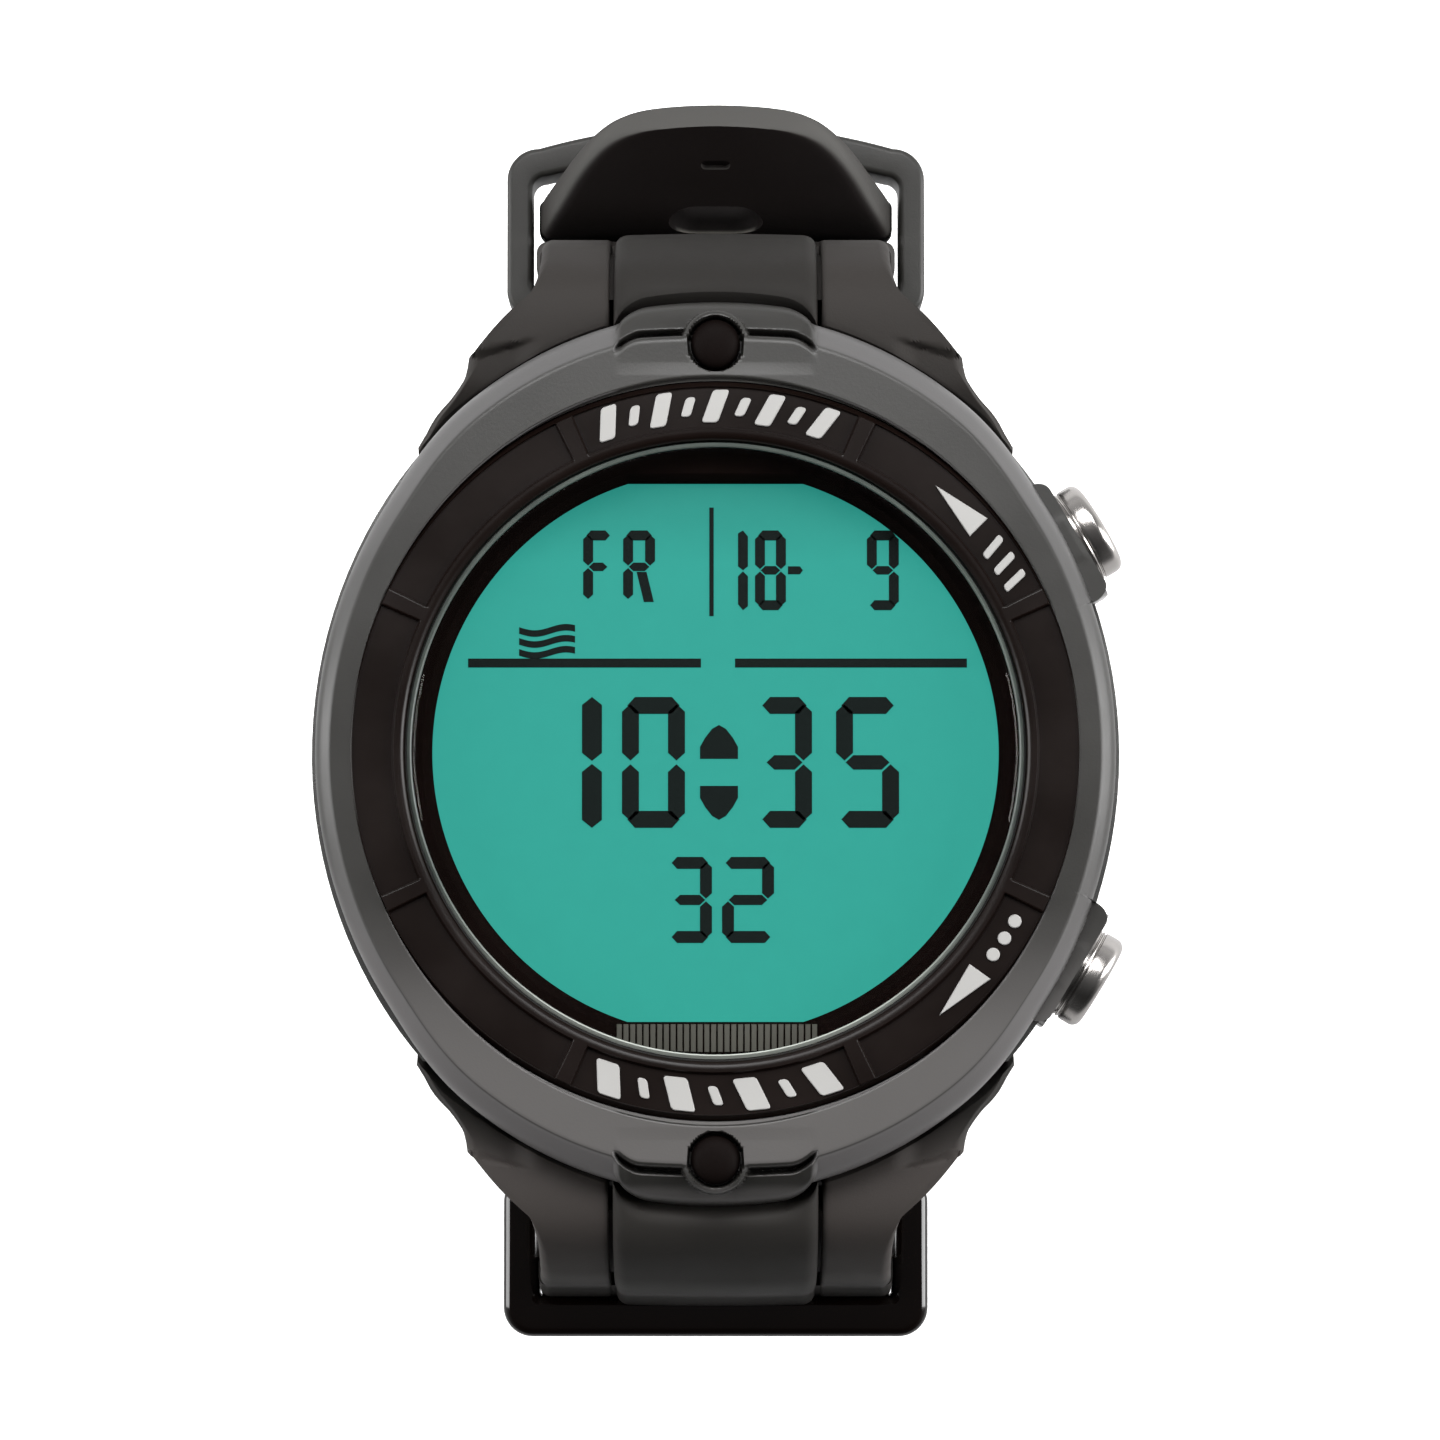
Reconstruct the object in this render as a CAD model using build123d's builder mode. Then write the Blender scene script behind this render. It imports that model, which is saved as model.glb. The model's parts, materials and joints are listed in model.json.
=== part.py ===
from build123d import *
import math
import os

os.makedirs("parts", exist_ok=True)

# ------------------------------------------------------------------ driving dimensions (mm)
# Frame: +Z out of the dial, +Y towards 12 o'clock, +X towards 3 o'clock.
# Origin: on the dial axis, in the outer plane of the case back.
CASE_A, CASE_B = 25.4, 27.9          # steel case half axes
CASE_Z0, CASE_TOP = 1.0, 8.4         # steel case bottom and shoulder
NECK_R, NECK_TOP = 22.6, 12.4        # round neck that carries the crystal
CAVITY_R, CAVITY_TOP = 19.6, 10.6
COVER_A, COVER_B = 25.17, 27.35      # guard ring outline at its widest
COVER_Z0, COVER_TOP = 8.44, 13.6
CRYSTAL_R, CRYSTAL_Z0, CRYSTAL_Z1 = 19.2, 11.8, 13.8
BEZEL_R0, BEZEL_R1, BEZEL_Z0, BEZEL_Z1 = 19.3, 23.0, 12.45, 13.9
WINDOW_R, WINDOW_FLAT = 17.75, 16.85
LCD_R, LCD_Z0, LCD_Z1 = 19.0, 8.9, 10.5
PLATE_R, PLATE_T = 22.4, 1.8
HATCH_R = 13.4                       # battery cover radius
BUTTON_ANGLE, BUTTON_Z = 31.0, 6.9   # push button axes
BUTTON_R, BUTTON_FACE = 3.05, 28.3
BUTTON_SEAT, BOSS_FACE = 23.4, 26.45
STEM_R, TUBE_R, TUBE_BORE = 1.2, 1.9, 1.25
LUG_HALF, LUG_Y = 6.3, 28.4          # central case lug
PIN_Y, PIN_Z, PIN_R = 26.9, 5.5, 0.8
STUD_Y, STUD_R = 25.4, 1.5
STRAP_HALF, STRAP_T, TAIL_T = 11.4, 3.0, 2.6
SIDE_Y = 32.0                        # inner face of the strap where it runs straight down
BEND_R, BEND_Y, BEND_Z = 17.0, 15.0, -18.0
UNDER_R, UNDER_Z = 47.0, 7.98        # inner radius and centre height of the arc under the wrist
LAP = 3.15                           # height of the outer layer above the inner face
BUCKLE_S, BUCKLE_N = 7.5, 1.4        # buckle pin, along and above the strap's inner face
BAR_S, BAR_N, BAR_R = -4.2, 4.4, 1.3
SLOT_W, SLOT_L, SLOT_PITCH, SLOT_0 = 6.2, 4.2, 6.78, 4.05
ROOT_Y, ROOT_Z, FULL_Z = 34.3, -5.0, -11.0   # strap is thinner at the root and full from FULL_Z down
KEEPER_HALF, KEEPER_WALL = 13.8, 1.45


def loop_point(s, n):
    """(y, z) at distance s along the strap loop's inner face from its lowest point, n above that face."""
    a, side = abs(s), (1 if s >= 0 else -1)
    under = UNDER_R * math.radians(30)
    bend = BEND_R * math.radians(60)
    if a <= under:
        t = a / UNDER_R
        y, z = (UNDER_R + n) * math.sin(t), UNDER_Z - (UNDER_R + n) * math.cos(t)
    elif a <= under + bend:
        t = math.radians(30) + (a - under) / BEND_R
        y, z = BEND_Y + (BEND_R + n) * math.sin(t), BEND_Z - (BEND_R + n) * math.cos(t)
    else:
        y, z = SIDE_Y + n, BEND_Z + (a - under - bend)
    return (side * y, z)


def arc_between(s0, s1, n):
    return ThreePointArc(loop_point(s0, n), loop_point((s0 + s1) / 2, n), loop_point(s1, n))


S_UNDER = UNDER_R * math.radians(30)
S_BEND = S_UNDER + BEND_R * math.radians(60)


def step(t):
    t = max(0.0, min(1.0, t))
    return t * t * (3 - 2 * t)


def tail_in(s):
    """Height of the long strap's inner face: it climbs from the inner to the outer layer at the buckle."""
    return LAP * step((s + 4.0) / 11.0)


def tail_t(s):
    return STRAP_T + (TAIL_T - STRAP_T) * step((s + 24.0) / 14.0)


# ------------------------------------------------------------------ steel case
with BuildPart() as case_body:
    with BuildSketch(Plane.XY.offset(CASE_Z0)):
        Ellipse(23.5, 26.0)
    with BuildSketch(Plane.XY.offset(3.6)):
        Ellipse(CASE_A, CASE_B)
    loft()
    with BuildSketch(Plane.XY.offset(3.6)):
        Ellipse(CASE_A, CASE_B)
    extrude(amount=CASE_TOP - 3.6)
    # guard bosses round the push buttons
    for sign in (1, -1):
        ang = math.radians(sign * BUTTON_ANGLE)
        with BuildSketch(Plane(origin=(0, 0, BUTTON_Z), x_dir=(-math.sin(ang), math.cos(ang), 0), z_dir=(math.cos(ang), math.sin(ang), 0)).offset(20.5)):
            with Locations((0, -1.2)):
                RectangleRounded(8.2, 5.4, 1.2)
        extrude(amount=BOSS_FACE - 20.5)
    with BuildSketch(Plane.XY.offset(CASE_TOP)):
        Rectangle(80, 80)
    extrude(amount=6, mode=Mode.SUBTRACT)
    # straight-sided pockets that take the strap's wings
    with BuildSketch(Plane.XY.offset(0)):
        with Locations((0, 30.0), (0, -30.0)):
            Rectangle(60, 21.4)
        Ellipse(25.15, 27.1, mode=Mode.SUBTRACT)
        with Locations((0, 30.6), (0, -30.6)):
            Rectangle(25.6, 12.0)
    extrude(amount=CASE_TOP + 1, mode=Mode.SUBTRACT)
    # central lugs
    with BuildSketch(Plane.YZ.offset(-LUG_HALF)):
        for sign in (1, -1):
            with BuildLine():
                Polyline((sign * 23.0, 3.3), (sign * 26.6, 3.3), (sign * 27.6, 3.7), (sign * LUG_Y, 4.6), (sign * LUG_Y, 8.0), (sign * 28.0, 8.35), (sign * 23.0, 8.35), (sign * 23.0, 3.3))
            make_face()
    extrude(amount=2 * LUG_HALF)
    # neck, cavity, crystal seat
    with BuildSketch(Plane.XY.offset(CASE_TOP)):
        Circle(NECK_R)
    extrude(amount=NECK_TOP - CASE_TOP)
    with BuildSketch(Plane.XY):
        Circle(CAVITY_R)
    extrude(amount=CAVITY_TOP, mode=Mode.SUBTRACT)
    with BuildSketch(Plane.XY.offset(CAVITY_TOP - 0.1)):
        Circle(18.0)
    extrude(amount=3, mode=Mode.SUBTRACT)
    with BuildSketch(Plane.XY.offset(11.2)):
        Circle(19.85)
    extrude(amount=3, mode=Mode.SUBTRACT)
    # back plate recess and its tapped holes
    with BuildSketch(Plane.XY):
        Circle(PLATE_R + 0.05)
    extrude(amount=PLATE_T + 0.02, mode=Mode.SUBTRACT)
    with BuildSketch(Plane.XY.offset(PLATE_T)):
        with PolarLocations(20.9, 4, start_angle=45):
            Circle(0.62)
    extrude(amount=3.4, mode=Mode.SUBTRACT)
    # lug pin and stud holes
    with BuildSketch(Plane.YZ.offset(-8)):
        with Locations((PIN_Y, PIN_Z), (-PIN_Y, PIN_Z)):
            Circle(PIN_R + 0.03)
    extrude(amount=16, mode=Mode.SUBTRACT)
    with BuildSketch(Plane.XY.offset(7.2)):
        with Locations((0, STUD_Y), (0, -STUD_Y)):
            Circle(0.73)
    extrude(amount=3, mode=Mode.SUBTRACT)
    # button counterbores, tube bores and the flats inside
    for sign in (1, -1):
        ang = math.radians(sign * BUTTON_ANGLE)
        axis_plane = Plane(origin=(0, 0, BUTTON_Z), x_dir=(-math.sin(ang), math.cos(ang), 0), z_dir=(math.cos(ang), math.sin(ang), 0))
        with BuildSketch(axis_plane.offset(BUTTON_SEAT)):
            Circle(BUTTON_R + 0.07)
        extrude(amount=5, mode=Mode.SUBTRACT)
        with BuildSketch(axis_plane.offset(18.5)):
            Circle(TUBE_R + 0.02)
        extrude(amount=6, mode=Mode.SUBTRACT)
        with BuildSketch(axis_plane.offset(18.5)):
            Circle(2.15)
        extrude(amount=1.8, mode=Mode.SUBTRACT)
case_body.part.label = "case_body"
export_step(case_body.part, "parts/case_body.step")

# ------------------------------------------------------------------ guard ring over the case
with BuildPart() as front_cover:
    with BuildSketch(Plane.XY.offset(COVER_Z0)):
        Ellipse(COVER_A - 0.1, COVER_B - 0.1)
    with BuildSketch(Plane.XY.offset(11.4)):
        Ellipse(COVER_A, COVER_B)
    loft()
    with BuildSketch(Plane.XY.offset(11.4)):
        Ellipse(COVER_A, COVER_B)
    with BuildSketch(Plane.XY.offset(12.7)):
        Ellipse(24.7, 26.75)
    loft()
    with BuildSketch(Plane.XY.offset(12.7)):
        Ellipse(24.7, 26.75)
    with BuildSketch(Plane.XY.offset(COVER_TOP)):
        Ellipse(23.95, 25.85)
    loft()
    # flat tab and sloping nose over each lug
    with BuildSketch(Plane.XY.offset(COVER_Z0)):
        with Locations((0, 23.0), (0, -23.0)):
            Rectangle(12.8, 6.0)
    extrude(amount=13.3 - COVER_Z0)
    with BuildSketch(Plane.YZ.offset(-6.4)):
        for sign in (1, -1):
            with BuildLine():
                Polyline((sign * 23.0, COVER_Z0), (sign * 28.35, COVER_Z0), (sign * 28.35, 10.2), (sign * 27.6, 11.3), (sign * 26.0, 12.3), (sign * 23.0, 12.3), (sign * 23.0, COVER_Z0))
            make_face()
    extrude(amount=12.8)
    # half-round bosses over the push buttons
    for sign in (1, -1):
        ang = math.radians(sign * BUTTON_ANGLE)
        with BuildSketch(Plane(origin=(0, 0, BUTTON_Z), x_dir=(-math.sin(ang), math.cos(ang), 0), z_dir=(math.cos(ang), math.sin(ang), 0)).offset(23.2)):
            with Locations((0, 1.6)):
                RectangleRounded(8.3, 6.0, 1.6)
        extrude(amount=BOSS_FACE - 23.2)
    with BuildSketch(Plane.XY.offset(COVER_Z0)):
        Rectangle(80, 80)
    extrude(amount=-8, mode=Mode.SUBTRACT)
    # plan rounding of the nose corners
    nose_edges = front_cover.edges().filter_by(Axis.Z).filter_by(lambda e: abs(abs(e.center().Y) - 28.35) < 0.01)
    fillet(nose_edges, 1.6)
    # bores
    with BuildSketch(Plane.XY.offset(8)):
        Circle(22.7)
    extrude(amount=8, mode=Mode.SUBTRACT)
    with BuildSketch(Plane.XY.offset(12.43)):
        Circle(23.05)
    extrude(amount=4, mode=Mode.SUBTRACT)
    with BuildSketch(Plane.XY.offset(8)):
        with Locations((0, STUD_Y), (0, -STUD_Y)):
            Circle(STUD_R + 0.05)
    extrude(amount=8, mode=Mode.SUBTRACT)
    with BuildSketch(Plane.XY.offset(12.0)):
        with Locations((0, STUD_Y), (0, -STUD_Y)):
            Circle(1.95)
    extrude(amount=3, mode=Mode.SUBTRACT)
    for sign in (1, -1):
        ang = math.radians(sign * BUTTON_ANGLE)
        with BuildSketch(Plane(origin=(0, 0, BUTTON_Z), x_dir=(-math.sin(ang), math.cos(ang), 0), z_dir=(math.cos(ang), math.sin(ang), 0)).offset(22)):
            Circle(BUTTON_R + 0.1)
        extrude(amount=6, mode=Mode.SUBTRACT)
front_cover.part.label = "front_cover"
export_step(front_cover.part, "parts/front_cover.step")

with BuildPart() as cover_studs:
    for sign in (1, -1):
        with BuildSketch(Plane.XY.offset(7.3)):
            with Locations((0, sign * STUD_Y)):
                Circle(0.7)
        extrude(amount=1.3)
        with BuildSketch(Plane.XY.offset(8.5)):
            with Locations((0, sign * STUD_Y)):
                Circle(STUD_R)
        extrude(amount=4.7)
    dome_edges = cover_studs.edges().filter_by(GeomType.CIRCLE).group_by(Axis.Z)[-1]
    fillet(dome_edges, 0.9)
cover_studs.part.label = "cover_studs"
export_step(cover_studs.part, "parts/cover_studs.step")

# ------------------------------------------------------------------ bezel, crystal, display
RIB_ANGLES = [65.3, 114.7, 155.0, 205.0, 245.3, 294.7, 335.0, 25.0]
with BuildPart() as bezel_ring:
    with BuildSketch(Plane.XY.offset(BEZEL_Z0)):
        Circle(BEZEL_R1)
        Circle(BEZEL_R0, mode=Mode.SUBTRACT)
    extrude(amount=BEZEL_Z1 - BEZEL_Z0)
    outer_rim = bezel_ring.edges().filter_by(GeomType.CIRCLE).group_by(Axis.Z)[-1]
    chamfer(outer_rim, 0.15)
    with BuildSketch(Plane.XY.offset(BEZEL_Z1 - 0.35)):
        Circle(22.7)
        Circle(20.0, mode=Mode.SUBTRACT)
        for a in RIB_ANGLES:
            with Locations(Location((21.35 * math.cos(math.radians(a)), 21.35 * math.sin(math.radians(a)), 0), (0, 0, a))):
                Rectangle(3.4, 1.1, mode=Mode.SUBTRACT)
    extrude(amount=1, mode=Mode.SUBTRACT)
bezel_ring.part.label = "bezel_ring"
export_step(bezel_ring.part, "parts/bezel_ring.step")

with BuildPart() as crystal:
    with BuildSketch(Plane.XY.offset(CRYSTAL_Z0)):
        Circle(CRYSTAL_R)
    extrude(amount=CRYSTAL_Z1 - CRYSTAL_Z0)
    chamfer(crystal.edges().group_by(Axis.Z)[-1], 0.45)
crystal.part.label = "crystal"
export_step(crystal.part, "parts/crystal.step")

with BuildPart() as crystal_gasket:
    with BuildSketch(Plane.XY.offset(CRYSTAL_Z0)):
        Circle(19.82)
        Circle(19.23, mode=Mode.SUBTRACT)
    extrude(amount=0.6)
crystal_gasket.part.label = "crystal_gasket"
export_step(crystal_gasket.part, "parts/crystal_gasket.step")

with BuildPart() as display_mask:
    with BuildSketch(Plane.XY.offset(11.23)):
        Circle(19.75)
        with BuildSketch(mode=Mode.PRIVATE) as window:
            Circle(WINDOW_R)
            Rectangle(2 * WINDOW_R + 1, 2 * WINDOW_FLAT, mode=Mode.INTERSECT)
        add(window.sketch, mode=Mode.SUBTRACT)
    extrude(amount=0.54)
display_mask.part.label = "display_mask"
export_step(display_mask.part, "parts/display_mask.step")

with BuildPart() as lcd_panel:
    with BuildSketch(Plane.XY.offset(LCD_Z0)):
        Circle(LCD_R)
    extrude(amount=LCD_Z1 - LCD_Z0)
lcd_panel.part.label = "lcd_panel"
export_step(lcd_panel.part, "parts/lcd_panel.step")

with BuildPart() as backlight_panel:
    with BuildSketch(Plane.XY.offset(8.3)):
        RectangleRounded(27, 26, 3)
    extrude(amount=0.56)
backlight_panel.part.label = "backlight_panel"
export_step(backlight_panel.part, "parts/backlight_panel.step")

with BuildPart() as zebra_connectors:
    with BuildSketch(Plane.XY.offset(7.44)):
        with Locations((0, 14.6), (0, -14.6)):
            Rectangle(16, 1.6)
    extrude(amount=1.42)
zebra_connectors.part.label = "zebra_connectors"
export_step(zebra_connectors.part, "parts/zebra_connectors.step")

# ------------------------------------------------------------------ electronics
with BuildPart() as circuit_board:
    with BuildSketch(Plane.XY.offset(6.4)):
        Circle(17.1)
    extrude(amount=1.0)
circuit_board.part.label = "circuit_board"
export_step(circuit_board.part, "parts/circuit_board.step")

with BuildPart() as circuit_components:
    with BuildSketch(Plane.XY.offset(7.42)):
        Rectangle(7, 7)
        with Locations((-8.5, 3), (-8.5, -3)):
            Rectangle(4, 3)
        with Locations((7.2, 4.6), (7.2, -4.6), (0, 9.0), (0, -9.0)):
            Rectangle(2.4, 1.6)
    extrude(amount=0.8)
circuit_components.part.label = "circuit_components"
export_step(circuit_components.part, "parts/circuit_components.step")

with BuildPart() as side_switches:
    for sign in (1, -1):
        ang = math.radians(sign * BUTTON_ANGLE)
        with BuildSketch(Plane(origin=(0, 0, 7.42), x_dir=(math.cos(ang), math.sin(ang), 0), z_dir=(0, 0, 1))):
            with Locations((15.7, 0)):
                Rectangle(2.8, 4.2)
        extrude(amount=0.82)
side_switches.part.label = "side_switches"
export_step(side_switches.part, "parts/side_switches.step")

with BuildPart() as module_holder:
    with BuildSketch(Plane.XY.offset(2.6)):
        Circle(17.0)
        Circle(12.6, mode=Mode.SUBTRACT)
        with Locations((0, 16.2), (0, -16.2)):
            Circle(2.3, mode=Mode.SUBTRACT)
        with Locations((-12.6, 0)):
            Rectangle(1.2, 9, mode=Mode.SUBTRACT)
    extrude(amount=3.75)
module_holder.part.label = "module_holder"
export_step(module_holder.part, "parts/module_holder.step")

with BuildPart() as battery_cell:
    with BuildSketch(Plane.XY.offset(2.65)):
        Circle(12.25)
    extrude(amount=0.35)
    with BuildSketch(Plane.XY.offset(3.0)):
        Circle(10.6)
    extrude(amount=2.65)
    with BuildSketch(Plane.XY.offset(2.65)):
        Circle(12.25)
    extrude(amount=2.6)
battery_cell.part.label = "battery_cell"
export_step(battery_cell.part, "parts/battery_cell.step")

with BuildPart() as battery_contact_spring:
    with BuildSketch(Plane.XY.offset(5.72)):
        Circle(7.0)
        Circle(5.2, mode=Mode.SUBTRACT)
    extrude(amount=0.25)
    with BuildSketch(Plane.XY.offset(5.72)):
        with Locations((0, 5.9), (0, -5.9)):
            Rectangle(2.0, 1.6)
    extrude(amount=0.62)
battery_contact_spring.part.label = "battery_contact_spring"
export_step(battery_contact_spring.part, "parts/battery_contact_spring.step")

with BuildPart() as battery_side_contact:
    with BuildSketch(Plane.XY.offset(2.9)):
        with Locations((-12.55, 0)):
            Rectangle(0.3, 6.0)
    extrude(amount=3.4)
battery_side_contact.part.label = "battery_side_contact"
export_step(battery_side_contact.part, "parts/battery_side_contact.step")

with BuildPart() as pressure_sensor:
    with BuildSketch(Plane.XY.offset(1.84)):
        with Locations((0, -16.2)):
            Circle(1.25)
    extrude(amount=3.9)
    with BuildSketch(Plane.XY.offset(3.0)):
        with Locations((0, -16.2)):
            Circle(1.75)
    extrude(amount=2.7)
pressure_sensor.part.label = "pressure_sensor"
export_step(pressure_sensor.part, "parts/pressure_sensor.step")

with BuildPart() as sensor_o_ring:
    with BuildSketch(Plane.YZ):
        with Locations((-16.2 + 1.55, 2.4)):
            Circle(0.28)
    revolve(axis=Axis((0, -16.2, 0), (0, 0, 1)))
sensor_o_ring.part.label = "sensor_o_ring"
export_step(sensor_o_ring.part, "parts/sensor_o_ring.step")

with BuildPart() as buzzer:
    with BuildSketch(Plane.XY.offset(1.9)):
        with Locations((0, 16.2)):
            Circle(1.9)
    extrude(amount=2.2)
    with BuildSketch(Plane.XY.offset(4.1)):
        with Locations((0, 16.2)):
            Circle(0.6)
    extrude(amount=0.4)
buzzer.part.label = "buzzer"
export_step(buzzer.part, "parts/buzzer.step")

# ------------------------------------------------------------------ case back
with BuildPart() as back_plate:
    with BuildSketch(Plane.XY):
        Circle(PLATE_R)
    extrude(amount=PLATE_T)
    with BuildSketch(Plane.XY.offset(PLATE_T)):
        Circle(19.5)
        Circle(18.1, mode=Mode.SUBTRACT)
    extrude(amount=1.7)
    # groove of the radial seal
    with BuildSketch(Plane.XY.offset(2.25)):
        Circle(20.5)
        Circle(18.66, mode=Mode.SUBTRACT)
    extrude(amount=0.95, mode=Mode.SUBTRACT)
    # battery cover bore and its bayonet entries
    with BuildSketch(Plane.XY):
        Circle(HATCH_R + 0.06)
    extrude(amount=PLATE_T, mode=Mode.SUBTRACT)
    # pressure port, screw holes with head recesses
    with BuildSketch(Plane.XY):
        with Locations((0, -16.2), (1.2, -16.2), (-1.2, -16.2)):
            Circle(0.35)
        with PolarLocations(20.9, 4, start_angle=45):
            Circle(0.75)
    extrude(amount=PLATE_T, mode=Mode.SUBTRACT)
    with BuildSketch(Plane.XY):
        with PolarLocations(20.9, 4, start_angle=45):
            Circle(1.3)
    extrude(amount=0.9, mode=Mode.SUBTRACT)
    outer = back_plate.edges().filter_by(GeomType.CIRCLE).group_by(Axis.Z)[0].filter_by(lambda e: e.radius > 22)
    chamfer(outer, 0.15)
back_plate.part.label = "back_plate"
export_step(back_plate.part, "parts/back_plate.step")

with BuildPart() as back_plate_gasket:
    with BuildSketch(Plane.XZ):
        with Locations((19.12, 2.72)):
            Circle(0.42)
    revolve(axis=Axis.Z)
back_plate_gasket.part.label = "back_plate_gasket"
export_step(back_plate_gasket.part, "parts/back_plate_gasket.step")

with BuildPart() as back_plate_screws:
    with BuildSketch(Plane.XY.offset(0.08)):
        with PolarLocations(20.9, 4, start_angle=45):
            Circle(1.22)
    extrude(amount=0.8)
    with BuildSketch(Plane.XY.offset(0.8)):
        with PolarLocations(20.9, 4, start_angle=45):
            Circle(0.6)
    extrude(amount=4.0)
    with BuildSketch(Plane.XY.offset(0.08)):
        with PolarLocations(20.9, 4, start_angle=45, rotate=True):
            Rectangle(2.6, 0.35)
    extrude(amount=0.35, mode=Mode.SUBTRACT)
back_plate_screws.part.label = "back_plate_screws"
export_step(back_plate_screws.part, "parts/back_plate_screws.step")

with BuildPart() as battery_cover:
    with BuildSketch(Plane.XY.offset(0.1)):
        Circle(HATCH_R)
    extrude(amount=1.74)
    # bayonet ears behind the plate
    with BuildSketch(Plane.XY.offset(1.84)):
        Circle(14.2)
        for a in (60, 180, 300):
            with Locations(Location((18 * math.cos(math.radians(a)), 18 * math.sin(math.radians(a)), 0), (0, 0, a))):
                Rectangle(18, 19, mode=Mode.SUBTRACT)
        Circle(11.5)
        Circle(10.6, mode=Mode.SUBTRACT)
    extrude(amount=0.6)
    # seal groove, coin slot
    with BuildSketch(Plane.XY.offset(0.6)):
        Circle(14)
        Circle(12.55, mode=Mode.SUBTRACT)
    extrude(amount=0.95, mode=Mode.SUBTRACT)
    with BuildSketch(Plane.XY.offset(0.1)):
        SlotOverall(17, 1.9)
    extrude(amount=0.9, mode=Mode.SUBTRACT)
battery_cover.part.label = "battery_cover"
export_step(battery_cover.part, "parts/battery_cover.step")

with BuildPart() as battery_cover_o_ring:
    with BuildSketch(Plane.XZ):
        with Locations((12.99, 1.07)):
            Circle(0.42)
    revolve(axis=Axis.Z)
battery_cover_o_ring.part.label = "battery_cover_o_ring"
export_step(battery_cover_o_ring.part, "parts/battery_cover_o_ring.step")

# ------------------------------------------------------------------ push buttons
up = math.radians(BUTTON_ANGLE)
UP_PLANE = Plane(origin=(0, 0, BUTTON_Z), x_dir=(-math.sin(up), math.cos(up), 0), z_dir=(math.cos(up), math.sin(up), 0))

with BuildPart() as button_upper:
    with BuildSketch(UP_PLANE.offset(24.5)):
        Circle(BUTTON_R)
    extrude(amount=BUTTON_FACE - 24.5)
    face_edge = button_upper.edges().filter_by(GeomType.CIRCLE).sort_by(Axis((0, 0, 0), (math.cos(up), math.sin(up), 0)))[-1]
    fillet(face_edge, 0.75)
    with BuildSketch(UP_PLANE.offset(24.4)):
        Circle(2.6)
    extrude(amount=2.8, mode=Mode.SUBTRACT)
    with BuildSketch(UP_PLANE.offset(18.3)):
        Circle(STEM_R)
    extrude(amount=9.2)
    # grooves for the seals and the retaining clip
    for u, w, r in ((21.3, 0.55, 0.78), (22.6, 0.55, 0.78), (19.48, 0.54, 0.82)):
        with BuildSketch(UP_PLANE.offset(u)):
            Circle(1.4)
            Circle(r, mode=Mode.SUBTRACT)
        extrude(amount=w, mode=Mode.SUBTRACT)
button_upper.part.label = "button_upper"
export_step(button_upper.part, "parts/button_upper.step")

with BuildPart() as button_lower:
    mirror(button_upper.part, about=Plane.XZ)
button_lower.part.label = "button_lower"
export_step(button_lower.part, "parts/button_lower.step")

with BuildPart() as button_tube_upper:
    with BuildSketch(UP_PLANE.offset(20.36)):
        Circle(TUBE_R)
        Circle(TUBE_BORE, mode=Mode.SUBTRACT)
    extrude(amount=3.6)
button_tube_upper.part.label = "button_tube_upper"
export_step(button_tube_upper.part, "parts/button_tube_upper.step")

with BuildPart() as button_tube_lower:
    mirror(button_tube_upper.part, about=Plane.XZ)
button_tube_lower.part.label = "button_tube_lower"
export_step(button_tube_lower.part, "parts/button_tube_lower.step")

with BuildPart() as button_spring_upper:
    with BuildLine():
        coil = Helix(pitch=0.95, height=3.3, radius=2.24, center=UP_PLANE.offset(23.65).origin, direction=UP_PLANE.z_dir)
    with BuildSketch(Plane(origin=coil @ 0, z_dir=coil % 0)):
        Circle(0.17)
    sweep(path=coil, is_frenet=True)
button_spring_upper.part.label = "button_spring_upper"
export_step(button_spring_upper.part, "parts/button_spring_upper.step")

with BuildPart() as button_spring_lower:
    mirror(button_spring_upper.part, about=Plane.XZ)
button_spring_lower.part.label = "button_spring_lower"
export_step(button_spring_lower.part, "parts/button_spring_lower.step")

with BuildPart() as button_o_rings_upper:
    for u in (21.575, 22.875):
        with BuildSketch(Plane(origin=UP_PLANE.origin, x_dir=UP_PLANE.z_dir, z_dir=(0, 0, 1))):
            with Locations((u, 1.015)):
                Circle(0.215)
        revolve(axis=Axis(UP_PLANE.origin, UP_PLANE.z_dir))
button_o_rings_upper.part.label = "button_o_rings_upper"
export_step(button_o_rings_upper.part, "parts/button_o_rings_upper.step")

with BuildPart() as button_o_rings_lower:
    mirror(button_o_rings_upper.part, about=Plane.XZ)
button_o_rings_lower.part.label = "button_o_rings_lower"
export_step(button_o_rings_lower.part, "parts/button_o_rings_lower.step")

with BuildPart() as button_clip_upper:
    with BuildSketch(UP_PLANE.offset(19.5)):
        Circle(1.9)
        Circle(0.86, mode=Mode.SUBTRACT)
        with Locations((0, -1.6)):
            Rectangle(1.3, 2.2, mode=Mode.SUBTRACT)
    extrude(amount=0.5)
button_clip_upper.part.label = "button_clip_upper"
export_step(button_clip_upper.part, "parts/button_clip_upper.step")

with BuildPart() as button_clip_lower:
    mirror(button_clip_upper.part, about=Plane.XZ)
button_clip_lower.part.label = "button_clip_lower"
export_step(button_clip_lower.part, "parts/button_clip_lower.step")

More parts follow.
